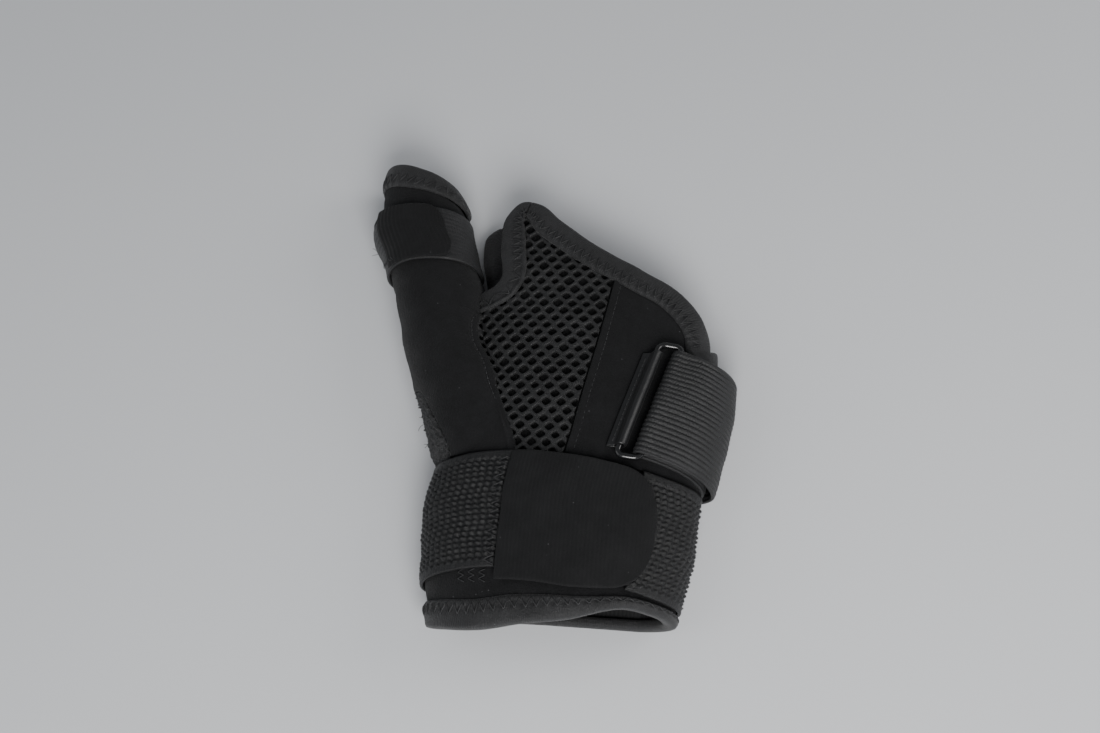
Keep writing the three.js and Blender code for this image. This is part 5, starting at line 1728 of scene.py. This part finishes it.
@dataclass
class HemBinding:
    """Stretch tape folded over a hem, gathered by its stitches."""

    name: str
    node: str
    tube: SoftTube
    hem: Callable[[Array], tuple[Array, Array]]
    width: Callable[[Array], Array]
    side: float
    start: float
    end: float
    closed: bool
    steps: int
    seed: float
    ridge: float = 0.0

    PROFILE_TOP = 15
    PROFILE_FOLD = 7
    STITCH_LENGTH = 3.9
    STITCH_RISE = 0.35
    STITCH_LIFT = 0.12

    def path(self, shares: Array) -> HemPath:
        """The hem at these shares."""
        return HemPath(self.tube, self.hem, self.side, shares)

    def surface_height(self, path: HemPath, w: Array, inward: Array) -> Array:
        """Height of the tape's outer face above the shell.

        It swells along its middle and is drawn in under the stitches, with small gathers that run
        across the tape; a ridge is the raised line along the inner border of the web's tape.

        Args:
            path: the hem.
            w: width of the tape.
            inward: distances into the fabric.

        Returns:
            Heights in millimetres.
        """
        top = LAYERS.panel_top + LAYERS.gap + LAYERS.binding
        share = inward / w
        swell = 0.35 * np.sin(np.pi * np.clip(share, 0, 1)) ** 0.7
        seam = -0.35 * bump(share, 0.64, 0.16)
        along = path.length[:, None]
        drift = 0.8 * np.sin(along / 9.0 + self.seed) + 3 * share
        gather = 0.30 * np.sin(2 * np.pi * along / self.STITCH_LENGTH + drift) * bump(share, 0.68, 0.26)
        lump = 0.22 * np.sin(along / 6.1 + self.seed) * np.sin(along / 2.9 + 2 * share)
        edge = -0.95 * ease((share - 0.86) / 0.14)
        cord = self.ridge * (bump(share, 0.93, 0.07) - 0.6 * bump(share, 0.78, 0.08))
        return top + swell + seam + gather + lump * 0.5 + edge + cord

    def build(self) -> bpy.types.Object:
        """Carries the folded profile along the hem.

        Returns:
            The new object.
        """
        if self.closed:
            shares = np.arange(self.steps) / self.steps
        else:
            shares = np.linspace(self.start, self.end, self.steps)
        path = self.path(shares)
        w = self.width(shares)[:, None]
        inside = -LAYERS.shell - LAYERS.gap
        outside = LAYERS.panel_top + LAYERS.gap
        over = np.linspace(1, 0, self.PROFILE_TOP)[None] * w
        high = self.surface_height(path, w, over)
        turn = np.linspace(0, np.pi, self.PROFILE_FOLD + 2)[1:-1]
        middle = (outside + LAYERS.binding + inside - LAYERS.binding) / 2
        reach = (outside - inside) / 2 + LAYERS.binding
        last = high[:, -1:]
        fold_in = -(LAYERS.gap + LAYERS.binding) * np.sin(turn)[None] * np.ones_like(w)
        fold_high = middle + np.cos(turn)[None] * np.where(turn < np.pi / 2, last - middle, reach)
        back = np.array([0.0, 0.4, 0.8])[None] * w
        back_high = np.full_like(back, inside - LAYERS.binding)
        inner = np.array([0.8, 0.4, 0.0])[None] * w
        inner_high = np.full_like(inner, inside)
        turn_in = np.full((len(shares), 2), -LAYERS.gap)
        turn_high = np.tile([inside, outside], (len(shares), 1))
        under = np.array([0.0, 0.35, 0.7, 0.97])[None] * w
        under_high = np.broadcast_to(outside - np.array([0.0, 0.0, 0.1, 0.38]), under.shape)
        inward = np.concatenate([over, fold_in, back, inner, turn_in, under], axis=1)
        height = np.concatenate([high, fold_high, back_high, inner_high, turn_high, under_high], axis=1)
        rings = path.lay(inward, height)
        if self.side > 0:
            rings = rings[:, ::-1]
        return lofted(self.name, rings, self.closed)

    def stitches(self) -> bpy.types.Object:
        """Wide zigzag stitches between the middle of the tape and its inner edge.

        Returns:
            The new object.
        """
        shares = np.linspace(self.start, self.end, 1400)
        length = self.path(shares).length
        total = length[-1]
        count = int(total / self.STITCH_LENGTH)
        at = np.interp(np.linspace(0, total, 2 * count + 1), length, shares)
        path = self.path(at)
        w = self.width(at)
        near = np.where(np.arange(len(at)) % 2 == 0, 0.42, 0.86)[:, None] * w[:, None]
        ground = path.lay(near, self.surface_height(path, w[:, None], near) + self.STITCH_LIFT)[:, 0]
        above = path.lay(near, np.full_like(near, 9.0))[:, 0]
        up = unit(above - path.lay(near, np.full_like(near, 1.0))[:, 0])
        return stitched(f"{self.name}.stitches", ground[:-1], ground[1:], up[:-1], self.STITCH_RISE)


class Bindings(Assembly):
    """The five bindings of the three hems, and their stitches."""

    def build(self) -> None:
        """Builds each binding with its stitches."""
        under = (UNDER_PEAK_STATION - STATIONS) / STATIONS
        split = SPLIT_STATION / STATIONS
        fork = FORK_STATION / STATIONS
        back = UNDER_PEAK_STATION / STATIONS
        gap = 0.004
        rows = [
            HemBinding("knuckle_binding.tape", "knuckle_binding", HAND, finger_hem, finger_binding_width,
                       1.0, under + gap, split - gap / 2, False, 420, 0.3),
            HemBinding("web_binding.tape", "web_binding", HAND, finger_hem, finger_binding_width,
                       1.0, split + gap / 2, fork - gap, False, 240, 1.9, ridge=0.9),
            HemBinding("back_web_binding.tape", "back_web_binding", HAND, finger_hem, finger_binding_width,
                       1.0, fork + gap, back - gap, False, 180, 3.1),
            HemBinding("wrist_binding.tape", "wrist_binding", HAND, wrist_path, wrist_binding_width,
                       -1.0, 0.0, 1.0, True, 420, 4.4),
            HemBinding("thumb_tip_binding.tape", "thumb_tip_binding", THUMB, tip_path, tip_binding_width,
                       1.0, 0.0, 1.0, True, 260, 5.2),
        ]
        for row in rows:
            made = self.add(row.build(), Look.TAPE, "binding_tape", row.node)
            thread = self.add(row.stitches(), Look.THREAD, "binding_tape", row.node)
            LOG.info("%s sewn with %s", made.name, thread.name)


class Straps(Assembly):
    """The three straps, their hook tabs and the ring.

    A tab's seam is the share around where the elastic ends in it; lengths are in millimetres.
    """

    WRIST_SEAM = 0.325
    WRIST_END = 1.12
    WRIST_TAB_LENGTH = 58
    WRIST_TAB_FLARE = 5.0
    THUMB_SEAM = 0.4
    THUMB_TAB_LENGTH = 27
    HIDDEN_SEAM = 0.002
    ROUND_FROM = 0.72
    ROUND_POWER = 2.6
    TOWARDS_END = 1.8
    TAB_COLUMNS = 90
    LOOP_ROW = 2.2
    LOOP_PITCH = 3.0
    RIB_PITCH = 2.2
    CASING_LENGTH = 44
    CASING_REACH = 4.8
    CASING_HALF = 0.5
    BAR_ROOM = 0.3
    FOLD_FROM = 0.6
    FOLD_TO = 0.66
    STRAP_HALF = 0.8
    HIDDEN_END = -0.3
    FREE_END = -0.03

    def build(self) -> None:
        """Builds the straps, the tabs, the ring and its casing."""
        self._wrist_strap()
        self._wrist_tab()
        self._thumb_strap()
        self._thumb_tab()
        self._ring()
        self._casing()
        self._hand_strap()

    def _narrowing(self, share: Array) -> Array:
        """How far a tab's width closes at shares of its length: (1 - x^power)^(1 / power) past its round."""
        past = np.clip((share - self.ROUND_FROM) / (1 - self.ROUND_FROM), 0, 1)
        return (1 - past**self.ROUND_POWER) ** (1 / self.ROUND_POWER)

    def _wrist_strap(self) -> None:
        """Looped elastic round the wrist: staggered loops between two plain selvages."""

        def surface(s: Array, t: Array) -> Array:
            """Where the shares s and t of the cloth lie."""
            around = lerp(self.WRIST_SEAM, self.WRIST_END, s)
            return HAND.point(around, wrist_strap_middle(around) + (t - 0.5) * SIZES.wrist_strap_width)

        def relief(p: Array, u: Array, v: Array) -> Array:
            """How far the weave is raised.

            Args:
                p: points of the cloth.
                u: lengths walked across it.
                v: lengths walked along it.

            Returns:
                Heights in millimetres.
            """
            rows = v / self.LOOP_ROW
            row = np.floor(rows)
            across = rows - row - 0.5
            along = (u / self.LOOP_PITCH + 0.16 * np.sin(0.9 * row)) % 1.0 - 0.5
            crescent = across + 0.9 * along**2
            loop = np.clip(1 - (2.7 * crescent) ** 2 - (2.7 * along) ** 2, 0, 1) ** 0.6
            edge = np.minimum(v, v[:, -1:] - v)
            inside = ease((edge - 2.6) / 1.2)
            selvage = 0.09 * np.sin(2 * np.pi * u / 1.3) * (1 - inside)
            varied = 1 + 0.35 * rough(p, 9.0, 0.7)
            return inside * (1.1 * loop * varied - 0.5) + selvage + 0.12 * rough(p, 24.0, 0.2)

        cloth = Cloth("wrist_strap.elastic", surface, edged(232, 0.62), edged(48, 0.5),
                      LAYERS.strap_low, LAYERS.strap_top, relief)
        self.lay(cloth, Look.LOOPS, "woven_elastic", "wrist_strap", "stretched", "wrist_panel.pile")

    def _wrist_tab(self) -> None:
        """The hook tab that closes it, rounded at its free end."""
        reach = self.WRIST_TAB_LENGTH * 0.5 / HAND.top_length(SIZES.wrist_strap_set)[0]

        def surface(s: Array, t: Array) -> Array:
            """Where the shares s and t of the cloth lie.

            Args:
                s: shares across the piece.
                t: shares along it.

            Returns:
                Points, of the shape of s and t.
            """
            share = 1 - (1 - s) ** self.TOWARDS_END
            around = self.WRIST_SEAM - self.HIDDEN_SEAM - share * reach
            top = SIZES.wrist_strap_width / 2 - 1.0
            flare = self.WRIST_TAB_FLARE * (1 - ease((share - 0.45) / 0.5))
            bottom = -SIZES.wrist_strap_width / 2 - flare
            half = (top - bottom) / 2 * np.maximum(self._narrowing(share), 0.22)
            return HAND.point(around, wrist_strap_middle(around) + (top + bottom) / 2 + (2 * t - 1) * half)

        relief = uneven((0.18, 19.0, 2.6), (0.05, 5.0, 0.3))
        cloth = Cloth("wrist_strap_tab.hook", surface, np.linspace(0, 1, self.TAB_COLUMNS), edged(52, 0.9),
                      LAYERS.tab_low, LAYERS.tab_top, relief, turned=True)
        self.lay(cloth, Look.HOOKS, "hook_fabric", "wrist_strap_tab", "laid", "wrist_strap.elastic")

    def _thumb_strap(self) -> None:
        """Ribbed elastic round the thumb."""

        def surface(s: Array, t: Array) -> Array:
            """Where the shares s and t of the cloth lie."""
            return THUMB.point(s, thumb_strap_middle(s) + (t - 0.5) * SIZES.thumb_strap_width)

        def relief(p: Array, u: Array, v: Array) -> Array:
            """How far the weave is raised."""
            edge = np.minimum(v, v[:, -1:] - v)
            rib = 0.10 * np.cos(2 * np.pi * v / self.RIB_PITCH) * ease((edge - 1.0) / 1.0)
            return rib + 0.15 * rough(p, 17.0, 1.2)

        cloth = Cloth("thumb_strap.elastic", surface, edged(110, 1.0, True), edged(26, 0.42),
                      LAYERS.strap_low, LAYERS.strap_top, relief, closed=True)
        self.lay(cloth, Look.RIBS, "ribbed_elastic", "thumb_strap", "stretched", "thumb_panel.pile")

    def _thumb_tab(self) -> None:
        """Its hook tab."""
        reach = self.THUMB_TAB_LENGTH * 0.5 / THUMB.top_length(SIZES.crotch_height + SIZES.thumb_strap_set)[0]

        def surface(s: Array, t: Array) -> Array:
            """Where the shares s and t of the cloth lie."""
            share = 1 - (1 - s) ** self.TOWARDS_END
            around = self.THUMB_SEAM - share * reach
            half = SIZES.thumb_strap_width / 2 * np.maximum(self._narrowing(share), 0.38)
            return THUMB.point(around, thumb_strap_middle(around) + (2 * t - 1) * half)

        def relief(p: Array, u: Array, v: Array) -> Array:
            """How far the weave is raised."""
            return 0.12 * rough(p, 12.0, 0.6) + 0.08 * np.cos(2 * np.pi * u / 1.5)

        cloth = Cloth("thumb_strap_tab.hook", surface, np.linspace(0, 1, self.TAB_COLUMNS), edged(26, 0.7),
                      LAYERS.tab_low, LAYERS.tab_top, relief, turned=True)
        self.lay(cloth, Look.HOOKS, "hook_fabric", "thumb_strap_tab", "laid", "thumb_strap.elastic")

    def _ring(self) -> None:
        """The wire ring: a round wire round four rounded corners."""
        corner = RING.corner
        width = RING.width
        length = RING.length
        path = []
        for x, y, turn in ((0, -1, 1.0), (1, -1, 1.5), (1, 1, 2.0), (0, 1, 2.5)):
            centre = (corner if x == 0 else width - corner, y * (length / 2 - corner))
            for angle in np.pi * (turn + np.linspace(0, 0.5, 9)):
                path.append([centre[0] + corner * np.cos(angle), centre[1] + corner * np.sin(angle)])
            if (x == 0) == (y > 0):
                for k in range(1, 24):
                    path.append([x * width, y * (length / 2 - corner) * (1 - k / 12)])
        path = np.array(path)
        height = lerp(RING.outer_bar, RING.inner_bar, path[:, 0] / width)
        points = ring_place(path[:, 0], path[:, 1], height)
        up = ring_up(4)[0]
        rings = round_path(points, up, RING.wire / 2, 14, True)
        self.add(lofted("strap_ring.wire", rings, True), Look.WIRE, "ring_wire", "strap_ring")

    def _casing(self) -> None:
        """The casing round the ring's outer bar."""
        half = self.CASING_HALF
        radius = RING.wire / 2 + self.BAR_ROOM + half
        low_flap = LAYERS.panel_top + 0.4
        high_flap = low_flap + 2 * half + LAYERS.gap

        def surface(s: Array, t: Array) -> Array:
            """Where the shares s and t of the cloth lie.

            Args:
                s: shares across the piece.
                t: shares along it.

            Returns:
                Points, of the shape of s and t.
            """
            along = (t - 0.5) * self.CASING_LENGTH
            first = s < 0.3
            second = s < 0.6
            angle = np.pi * (s - 0.3) / 0.3
            back = (s - 0.6) / 0.4
            out = -self.CASING_REACH * (1 - s / 0.3)
            home = -self.CASING_REACH * back
            across = np.where(first, out, np.where(second, radius * np.sin(angle), home))
            fall = lerp(RING.outer_bar + radius, high_flap, ease(back / 0.4))
            fall = fall - (high_flap - LAYERS.panel_top - 0.9) * ease((back - 0.42) / 0.5)
            around_bar = RING.outer_bar - radius * np.cos(angle)
            return ring_place(across, along, np.where(first, low_flap, np.where(second, around_bar, fall)))

        def relief(p: Array, u: Array, v: Array) -> Array:
            """How far the weave is raised."""
            return 0.06 * rough(p, 8.0, 1.9) - 0.2 * bump(u[-1:] - u, 2.4, 0.5)

        cloth = Cloth("ring_tab.casing", surface, np.linspace(0, 1, 80), edged(self.CASING_LENGTH, 0.9),
                      -half, half, relief, follow=0.25)
        self.lay(cloth, Look.CASING, "loop_fabric", "ring_tab", "folded", "palm_panel.pile")

    def _hand_strap(self) -> None:
        """Ribbed elastic from under the hand, round the side and the ring, and back over itself."""
        half = self.STRAP_HALF
        low = LAYERS.strap_low + half
        radius = RING.wire / 2 + self.BAR_ROOM + half
        second = low + 2 * half + LAYERS.gap
        free = self.FREE_END
        start = self.FOLD_FROM
        stop = self.FOLD_TO

        def bar_around(along: Array) -> Array:
            """Shares around of the ring's inner bar."""
            return HAND.around(RING.place + RING.width + along * RING.lean, SIZES.hand_strap_set + along)

        bar = float(bar_around(np.array([0.0]))[0])

        def on_hand(around: Array, along: Array, height: Array) -> Array:
            """Points above the hand tube, leaned with the bar near it.

            Args:
                around: shares around.
                along: distances from the strap's middle.
                height: heights above the shell.

            Returns:
                The points.
            """
            lean = (bar_around(along) - bar) * ease(1 - (bar - around) / 0.08)
            shift = column(HAND_STRAP_SWAY, around, 1) * SIZES.hand_strap_width
            y = SIZES.hand_strap_set + along + shift
            return HAND.point(around + lean, y) + HAND.normal(around + lean, y) * height[..., None]

        def surface(s: Array, t: Array) -> Array:
            """Where the shares s and t of the cloth lie.

            Args:
                s: shares across the piece.
                t: shares along it.

            Returns:
                Points, of the shape of s and t.
            """
            along = (t - 0.5) * SIZES.hand_strap_width
            fold = (s > start) & (s < stop)
            over = s >= stop
            angle = np.pi * np.clip((s - start) / (stop - start), 0, 1)
            length = 2 * HAND.top_length(SIZES.hand_strap_set)[0]
            first = lerp(self.HIDDEN_END, bar, np.clip(s / start, 0, 1))
            turning = bar + radius * np.sin(angle) / length
            back_to = lerp(bar, free, np.clip((s - stop) / (1 - stop), 0, 1))
            around = np.where(fold, turning, np.where(over, back_to, first))
            back = (bar - around) / (bar - free)
            settle = lerp(low + 2 * radius, second, ease((bar - around) / 0.1))
            bulge = lerp(2.2, 5.2, t) * ease(back / 0.7) * (1 - 0.75 * ease((back - 0.78) / 0.22))
            bend = low + radius * (1 - np.cos(angle))
            height = np.where(fold, bend, np.where(over, settle + bulge, low))
            return on_hand(around, along, height)

        def relief(p: Array, u: Array, v: Array) -> Array:
            """How far the weave is raised."""
            edge = np.minimum(v, v[:, -1:] - v)
            rib = 0.62 * np.abs(np.cos(np.pi * v / self.RIB_PITCH)) ** 0.8 - 0.4
            knit = 0.07 * np.sin(2 * np.pi * (u / 1.5 + 0.5 * np.floor(v / self.RIB_PITCH)))
            return (rib + knit) * ease(edge / 1.2) + 0.1 * rough(p, 21.0, 0.5)

        across = np.concatenate([
            np.linspace(0, start, 70)[:-1], np.linspace(start, stop, 14)[:-1], np.linspace(stop, 1, 130),
        ])
        cloth = Cloth("hand_strap.elastic", surface, across, edged(48, 0.3), -half, half, relief, both=True)
        self.lay(cloth, Look.RIBS, "ribbed_elastic", "hand_strap", "folded", "palm_panel.pile")


@dataclass(frozen=True)
class RingSizes:
    """Sizes of the ring and where it lies, in millimetres."""

    place: float = 29.6
    lean: float = 0.2
    width: float = 8.4
    length: float = 52.2
    corner: float = 2.6
    wire: float = 2.6
    outer_bar: float = 5.1
    inner_bar: float = 5.7


RING = RingSizes()


def ring_place(across: Array, along: Array, height: Array) -> Array:
    """Points in the palm panel's own plane, measured from the ring's outer bar."""
    across, along = np.broadcast_arrays(np.asarray(across, float), np.asarray(along, float))
    y = SIZES.hand_strap_set + along
    around = HAND.around(RING.place + across + along * RING.lean, y)
    return HAND.point(around, y) + HAND.normal(around, y) * np.asarray(height)[..., None]


ROW_RISE = 0.22
BAR_RISE = 0.15
THREAD_SEED = 11
THREAD_POINTS = 14
FRAYED_THREADS = 46
LOOSE_THREADS = 5


def ring_up(across: float) -> Array:
    """Direction square to the hand beside the middle of the ring's outer bar, as one row."""
    middle = np.array([SIZES.hand_strap_set])
    return HAND.normal(HAND.around(np.array([RING.place + across]), middle), middle)


class Seams(Assembly):
    """Stitches of the panels and straps, and loose threads."""

    def build(self) -> None:
        """Sews the seams and scatters the threads."""
        self._rows()
        self._bars()
        self._threads()

    def _row(self, name: str, path: HighPath, pitch: float, slot: str, node: str) -> None:
        """One row of straight stitches along a path over shares from 0 to 1.

        Args:
            name: name of the piece.
            path: gives points and directions square to the cloth at shares.
            pitch: length of a stitch.
            slot: handed to add, which does not use it.
            node: the CAD node that it stands for.
        """
        shares = np.linspace(0, 1, 400)
        length = walked(path(shares)[0], 0)
        count = int(length[-1] / pitch)
        starts, up = path(np.interp((np.arange(count) + 0.12) * pitch, length, shares))
        ends, _ = path(np.interp((np.arange(count) + 0.88) * pitch, length, shares))
        self.add(stitched(name, starts, ends, up, ROW_RISE), Look.THREAD, slot, node)

    def _rows(self) -> None:
        """Rows beside the thumb panel's edge and along the palm panel's fold and the casing.

        Each path gives points on its cloth at shares of the row, and directions square to the cloth.
        """

        def on(tube: SoftTube, around: Array, y: Array) -> tuple[Array, Array]:
            """Points on a panel's face, with directions."""
            p = body_point(tube, around, y)
            up = tube.normal(around, y)
            return p + up * (LAYERS.panel_top + crumple(p))[..., None], up

        def thumb_row(share: Array) -> tuple[Array, Array]:
            """Path beside the thumb panel's edge."""
            around, y = thumb_panel_place(np.full_like(share, 0.0), share * 0.96)
            return on(THUMB, around + 0.5 * 3.6 / THUMB.top_length(y), y)

        def palm_row(share: Array) -> tuple[Array, Array]:
            """Path beside the palm panel's fold."""
            around, y = palm_panel_place(np.full_like(share, 1.0), 0.02 + share * 0.9)
            return on(HAND, around - 0.5 * 3.1 / HAND.top_length(y), y)

        def casing_row(share: Array) -> tuple[Array, Array]:
            """Path on the casing's flaps, with one direction for all."""
            points = ring_place(-3.0, (share - 0.5) * 41, np.full_like(share, 4.75))
            return points, np.repeat(ring_up(-5), len(share), axis=0)

        self._row("thumb_panel.stitches", thumb_row, 2.6, "loop_fabric", "thumb_panel")
        self._row("palm_panel.stitches", palm_row, 2.6, "loop_fabric", "palm_panel")
        self._row("ring_tab.stitches", casing_row, 2.4, "loop_fabric", "ring_tab")

    def _bars(self) -> None:
        """Zigzag bars: at the wrist tab's seam, its crossed corner and the thumb strap's two corners."""

        def patch(name: str, tube: SoftTube, around: float, y: float, wide: float, long: float, slant: float,
                  height: float, count: int, slot: str, node: str) -> None:
            """One bar: a thread that goes to and fro across a narrow patch.

            Args:
                name: name of the piece.
                tube: the tube that it lies on.
                around: share around of its middle.
                y: place along of its middle.
                wide: width of the zigzag.
                long: length of the bar.
                slant: degrees that it is turned by.
                height: height above the shell.
                count: number of stitches.
                slot: handed to add, which does not use it.
                node: the CAD node that it stands for.
            """
            k = np.arange(count + 1)
            across = np.where(k % 2 == 0, -0.5, 0.5) * wide
            along = (k / count - 0.5) * long
            turn = np.radians(slant)
            a = across * np.cos(turn) - along * np.sin(turn)
            b = across * np.sin(turn) + along * np.cos(turn)
            u = around + 0.5 * a / tube.top_length(np.full(len(k), y))
            p = tube.point(u, y + b)
            up = tube.normal(u, y + b)
            p = p + up * (height + crumple(p))[..., None]
            self.add(stitched(name, p[:-1], p[1:], up[:-1], BAR_RISE), Look.THREAD, slot, node)

        middle = SIZES.wrist_strap_set
        patch("wrist_strap.seam", HAND, 0.335, middle - 1.5, 4.0, 44, 0, LAYERS.strap_top + 0.3, 24,
              "woven_elastic", "wrist_strap")
        strap_low = middle - SIZES.wrist_strap_width / 2 - 3.4
        for k, shift in enumerate((0.0, 0.019, 0.038)):
            patch(f"wrist_panel.cross_{k}", HAND, 0.347 + shift, strap_low, 2.6, 5.0, 0,
                  LAYERS.panel_top + 0.35, 4, "loop_fabric", "wrist_panel")
        strap = SIZES.crotch_height + SIZES.thumb_strap_set
        patch("thumb_strap.bar_top", THUMB, 0.425, strap + 10, 1.8, 6, 75, LAYERS.strap_top + 0.1, 10,
              "ribbed_elastic", "thumb_strap")
        patch("thumb_strap.bar_low", THUMB, 0.395, strap - 11.5, 1.8, 6, 80, LAYERS.tab_top + 0.1, 10,
              "ribbed_elastic", "thumb_strap")

    def _threads(self) -> None:
        """Loose threads at the rough mesh and at the thumb strap, each a curl along an arc."""
        rng = np.random.default_rng(THREAD_SEED)
        t = np.linspace(0, 1, THREAD_POINTS)

        def curl(at: Array, reach: float, lift: float) -> Array:
            """Path of one loose thread.

            Args:
                at: where it starts.
                reach: its length.
                lift: how far its middle rises.

            Returns:
                Points of the path.
            """
            angle = rng.uniform(0, 2 * np.pi)
            bend = rng.uniform(-2.4, 2.4)
            heading = angle + bend * t
            steps = np.stack([np.cos(heading), np.sin(heading), np.zeros_like(t)], axis=-1) * reach / len(t)
            path = at + np.cumsum(steps, axis=0)
            path[:, 2] += lift * np.sin(np.pi * t) * rng.uniform(0.3, 1.0)
            return path

        frayed = []
        for _ in range(FRAYED_THREADS):
            s = rng.uniform(0.0, 0.45)
            r = rng.uniform(0.0, 0.8) ** 2.2
            around, y = side_mesh_place(np.array([s]), np.array([r]))
            p = body_point(THUMB, around, y) + THUMB.normal(around, y) * (LAYERS.panel_top + 0.3)
            frayed.append(curl(p[0], rng.uniform(1.5, 4.0), 0.8))
        self.add(strands("side_mesh.fray", frayed, 0.11), Look.THREAD, "mesh_fabric", "side_mesh")
        loose = []
        for place in np.linspace(-2.0, 3.0, LOOSE_THREADS):
            around = np.array([0.5])
            y = np.array([SIZES.crotch_height + SIZES.thumb_strap_set + place])
            p = THUMB.point(around, y) + THUMB.normal(around, y) * (LAYERS.strap_top + 0.1)
            loose.append(curl(p[0], rng.uniform(2.5, 5.0), 1.0))
        self.add(strands("thumb_strap.loose", loose, 0.12), Look.THREAD, "ribbed_elastic", "thumb_strap")


class Studio:
    """The camera, the table top and the soft light."""

    RIGHT = (0.98155993, 0.14416233, -0.12552818)
    DOWN = (0.07854282, -0.9028522, -0.42271613)
    FORWARD = (-0.17427313, 0.40506188, -0.89752646)
    PLACE = (0.11101709, -0.22990888, 0.55829335)
    LENS = 46.8
    SENSOR = 36.0
    FLOOR_REACH = 6.0

    def camera(self) -> None:
        """Sets the camera where the photo was taken from."""
        data = bpy.data.cameras.new("camera")
        data.lens = self.LENS
        data.sensor_width = self.SENSOR
        data.clip_start = 0.02
        made = bpy.data.objects.new("camera", data)
        rows = [[self.RIGHT[k], -self.DOWN[k], -self.FORWARD[k], self.PLACE[k]] for k in range(3)]
        made.matrix_world = Matrix([*rows, [0, 0, 0, 1]])
        bpy.context.scene.collection.objects.link(made)
        bpy.context.scene.camera = made

    def floor(self) -> None:
        """A plain pale table top."""
        mesh = bpy.data.meshes.new("table_top")
        reach = self.FLOOR_REACH
        corners = [(-reach, -reach, 0), (reach, -reach, 0), (reach, reach, 0), (-reach, reach, 0)]
        mesh.from_pydata(corners, [], [(0, 1, 2, 3)])
        made = bpy.data.objects.new("table_top", mesh)
        bpy.context.scene.collection.objects.link(made)
        paint = bpy.data.materials.new("table top")
        paint.use_nodes = True
        shader = paint.node_tree.nodes["Principled BSDF"]
        shader.inputs["Base Color"].default_value = (0.60, 0.612, 0.63, 1.0)
        shader.inputs["Roughness"].default_value = 0.75
        shader.inputs["Specular IOR Level"].default_value = 0.2
        mesh.materials.append(paint)

    def light(self) -> None:
        """A broad key, a side light, a fill and a soft surrounding."""
        # Name, place, target, size in metres, power in watts and colour
        lamps = (
            ("key", (0.3, -0.72, 0.62), (0.08, -0.3, 0.0), 0.5, 11.2, (1.0, 0.99, 0.98)),
            ("side", (0.9, 0.25, 0.55), (0.05, 0.0, 0.0), 0.5, 3.0, (1.0, 0.98, 0.97)),
            ("fill", (-0.9, -0.3, 0.8), (-0.1, -0.1, 0.0), 1.0, 3.0, (0.97, 0.98, 1.0)),
        )
        for name, place, target, size, power, colour in lamps:
            data = bpy.data.lights.new(name, "AREA")
            data.size = size
            data.energy = power
            data.color = colour
            made = bpy.data.objects.new(name, data)
            made.location = place
            away = Vector(place) - Vector(target)
            made.rotation_euler = away.to_track_quat("Z", "Y").to_euler()
            bpy.context.scene.collection.objects.link(made)
        world = bpy.context.scene.world or bpy.data.worlds.new("room")
        bpy.context.scene.world = world
        world.use_nodes = True
        ground = world.node_tree.nodes["Background"]
        ground.inputs["Color"].default_value = (0.93, 0.96, 1.0, 1.0)
        ground.inputs["Strength"].default_value = 0.3


def main() -> None:
    """Builds the stage and the splint."""
    logging.basicConfig(level=logging.INFO, format="%(name)s: %(message)s")
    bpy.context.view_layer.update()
    studio = Studio()
    studio.camera()
    studio.floor()
    studio.light()
    wardrobe = Wardrobe()
    for group in (Body(wardrobe), Bindings(wardrobe), Straps(wardrobe), Seams(wardrobe)):
        group.build()


if __name__ == "__main__":
    main()
